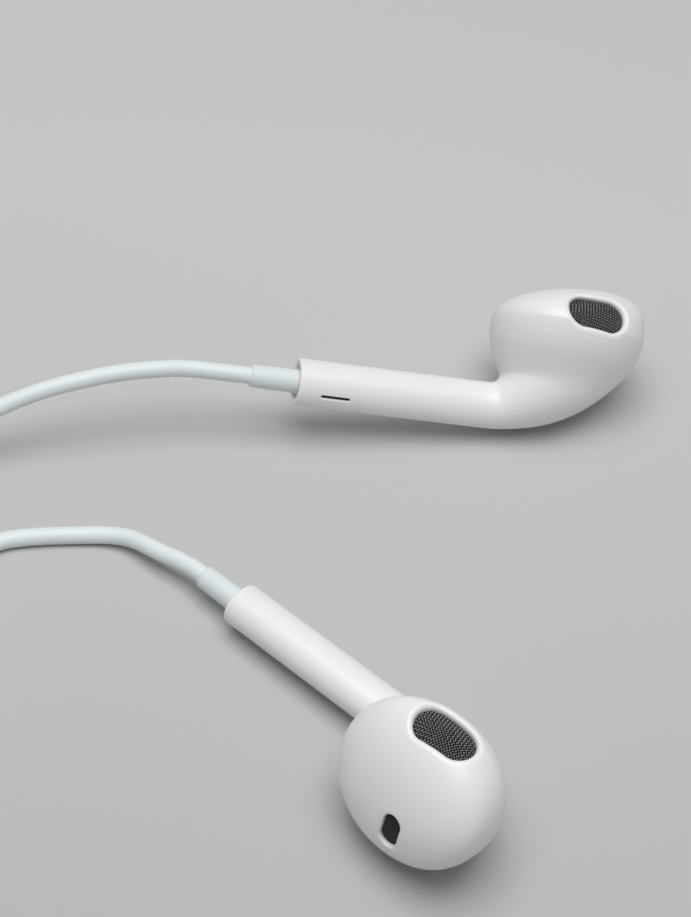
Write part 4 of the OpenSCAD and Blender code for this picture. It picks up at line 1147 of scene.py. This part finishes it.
# Floor and light
SKY_FRONT, SKY_BACK = 0.2, 0.35
# Floor half size; the y span and the two tones of painted shade that darkens the floor towards the front and
# painted light that brightens it towards the back
FLOOR_HALF, FLOOR_NEAR, FLOOR_FAR = 3, -0.07, 0.06
FLOOR_PAINTED_SHADE_TONE, FLOOR_PAINTED_LIGHT_TONE = (0.468, 0.468, 0.468, 1), (0.595, 0.595, 0.58, 1)
SOFTBOX_SIDE, SOFTBOX_WATTS, SOFTBOX_AT = 0.42, 2.55, (-0.02, -0.05, 0.55)


def make_stage():
    """A pale floor, painted darker towards the front as painted shade, a large soft lamp above, and a sky
    that is brighter behind the buds.
    """
    scene = bpy.context.scene
    mesh = bpy.data.meshes.new("floor")
    r = FLOOR_HALF
    mesh.from_pydata([(-r, -r, 0), (r, -r, 0), (r, r, 0), (-r, r, 0)], [], [(0, 1, 2, 3)])
    floor = bpy.data.objects.new("floor", mesh)
    scene.collection.objects.link(floor)
    paper = bpy.data.materials.new("floor_paper_painted_shade")
    paper.use_nodes = True
    tree = paper.node_tree
    shader = tree.nodes["Principled BSDF"]
    place = tree.nodes.new("ShaderNodeTexCoord")
    apart = tree.nodes.new("ShaderNodeSeparateXYZ")
    # Painted shade: along y the floor's colour runs from the darker near tone at the front to the lighter far
    # tone at the back
    back = tree.nodes.new("ShaderNodeMapRange")
    back.inputs["From Min"].default_value, back.inputs["From Max"].default_value = FLOOR_NEAR, FLOOR_FAR
    tone = tree.nodes.new("ShaderNodeMix")
    tone.data_type = "RGBA"
    tone.inputs["A"].default_value, tone.inputs["B"].default_value = FLOOR_PAINTED_SHADE_TONE, FLOOR_PAINTED_LIGHT_TONE
    tree.links.new(place.outputs["Object"], apart.inputs[0])
    tree.links.new(apart.outputs["Y"], back.inputs["Value"])
    tree.links.new(back.outputs["Result"], tone.inputs["Factor"])
    tree.links.new(tone.outputs["Result"], shader.inputs["Base Color"])
    shader.inputs["Roughness"].default_value = 0.9
    shader.inputs["Specular IOR Level"].default_value = 0.1
    mesh.materials.append(paper)

    lamp = bpy.data.lights.new("softbox", "AREA")
    lamp.shape, lamp.size, lamp.energy = "SQUARE", SOFTBOX_SIDE, SOFTBOX_WATTS
    softbox = bpy.data.objects.new("softbox", lamp)
    softbox.location = SOFTBOX_AT
    softbox.rotation_euler = (-softbox.location).to_track_quat("-Z", "Y").to_euler()
    scene.collection.objects.link(softbox)

    world = bpy.data.worlds.new("studio")
    world.use_nodes = True
    tree = world.node_tree
    sky = tree.nodes["Background"]
    sky.inputs["Color"].default_value = (0.95, 0.97, 1.0, 1)
    place = tree.nodes.new("ShaderNodeTexCoord")
    apart = tree.nodes.new("ShaderNodeSeparateXYZ")
    level = tree.nodes.new("ShaderNodeMapRange")
    level.inputs["From Min"].default_value, level.inputs["From Max"].default_value = -1, 1
    level.inputs["To Min"].default_value, level.inputs["To Max"].default_value = SKY_FRONT, SKY_BACK
    tree.links.new(place.outputs["Generated"], apart.inputs[0])
    tree.links.new(apart.outputs["Y"], level.inputs["Value"])
    tree.links.new(level.outputs["Result"], sky.inputs["Strength"])
    scene.world = world
    scene.view_settings.view_transform = "Standard"


make_stage()
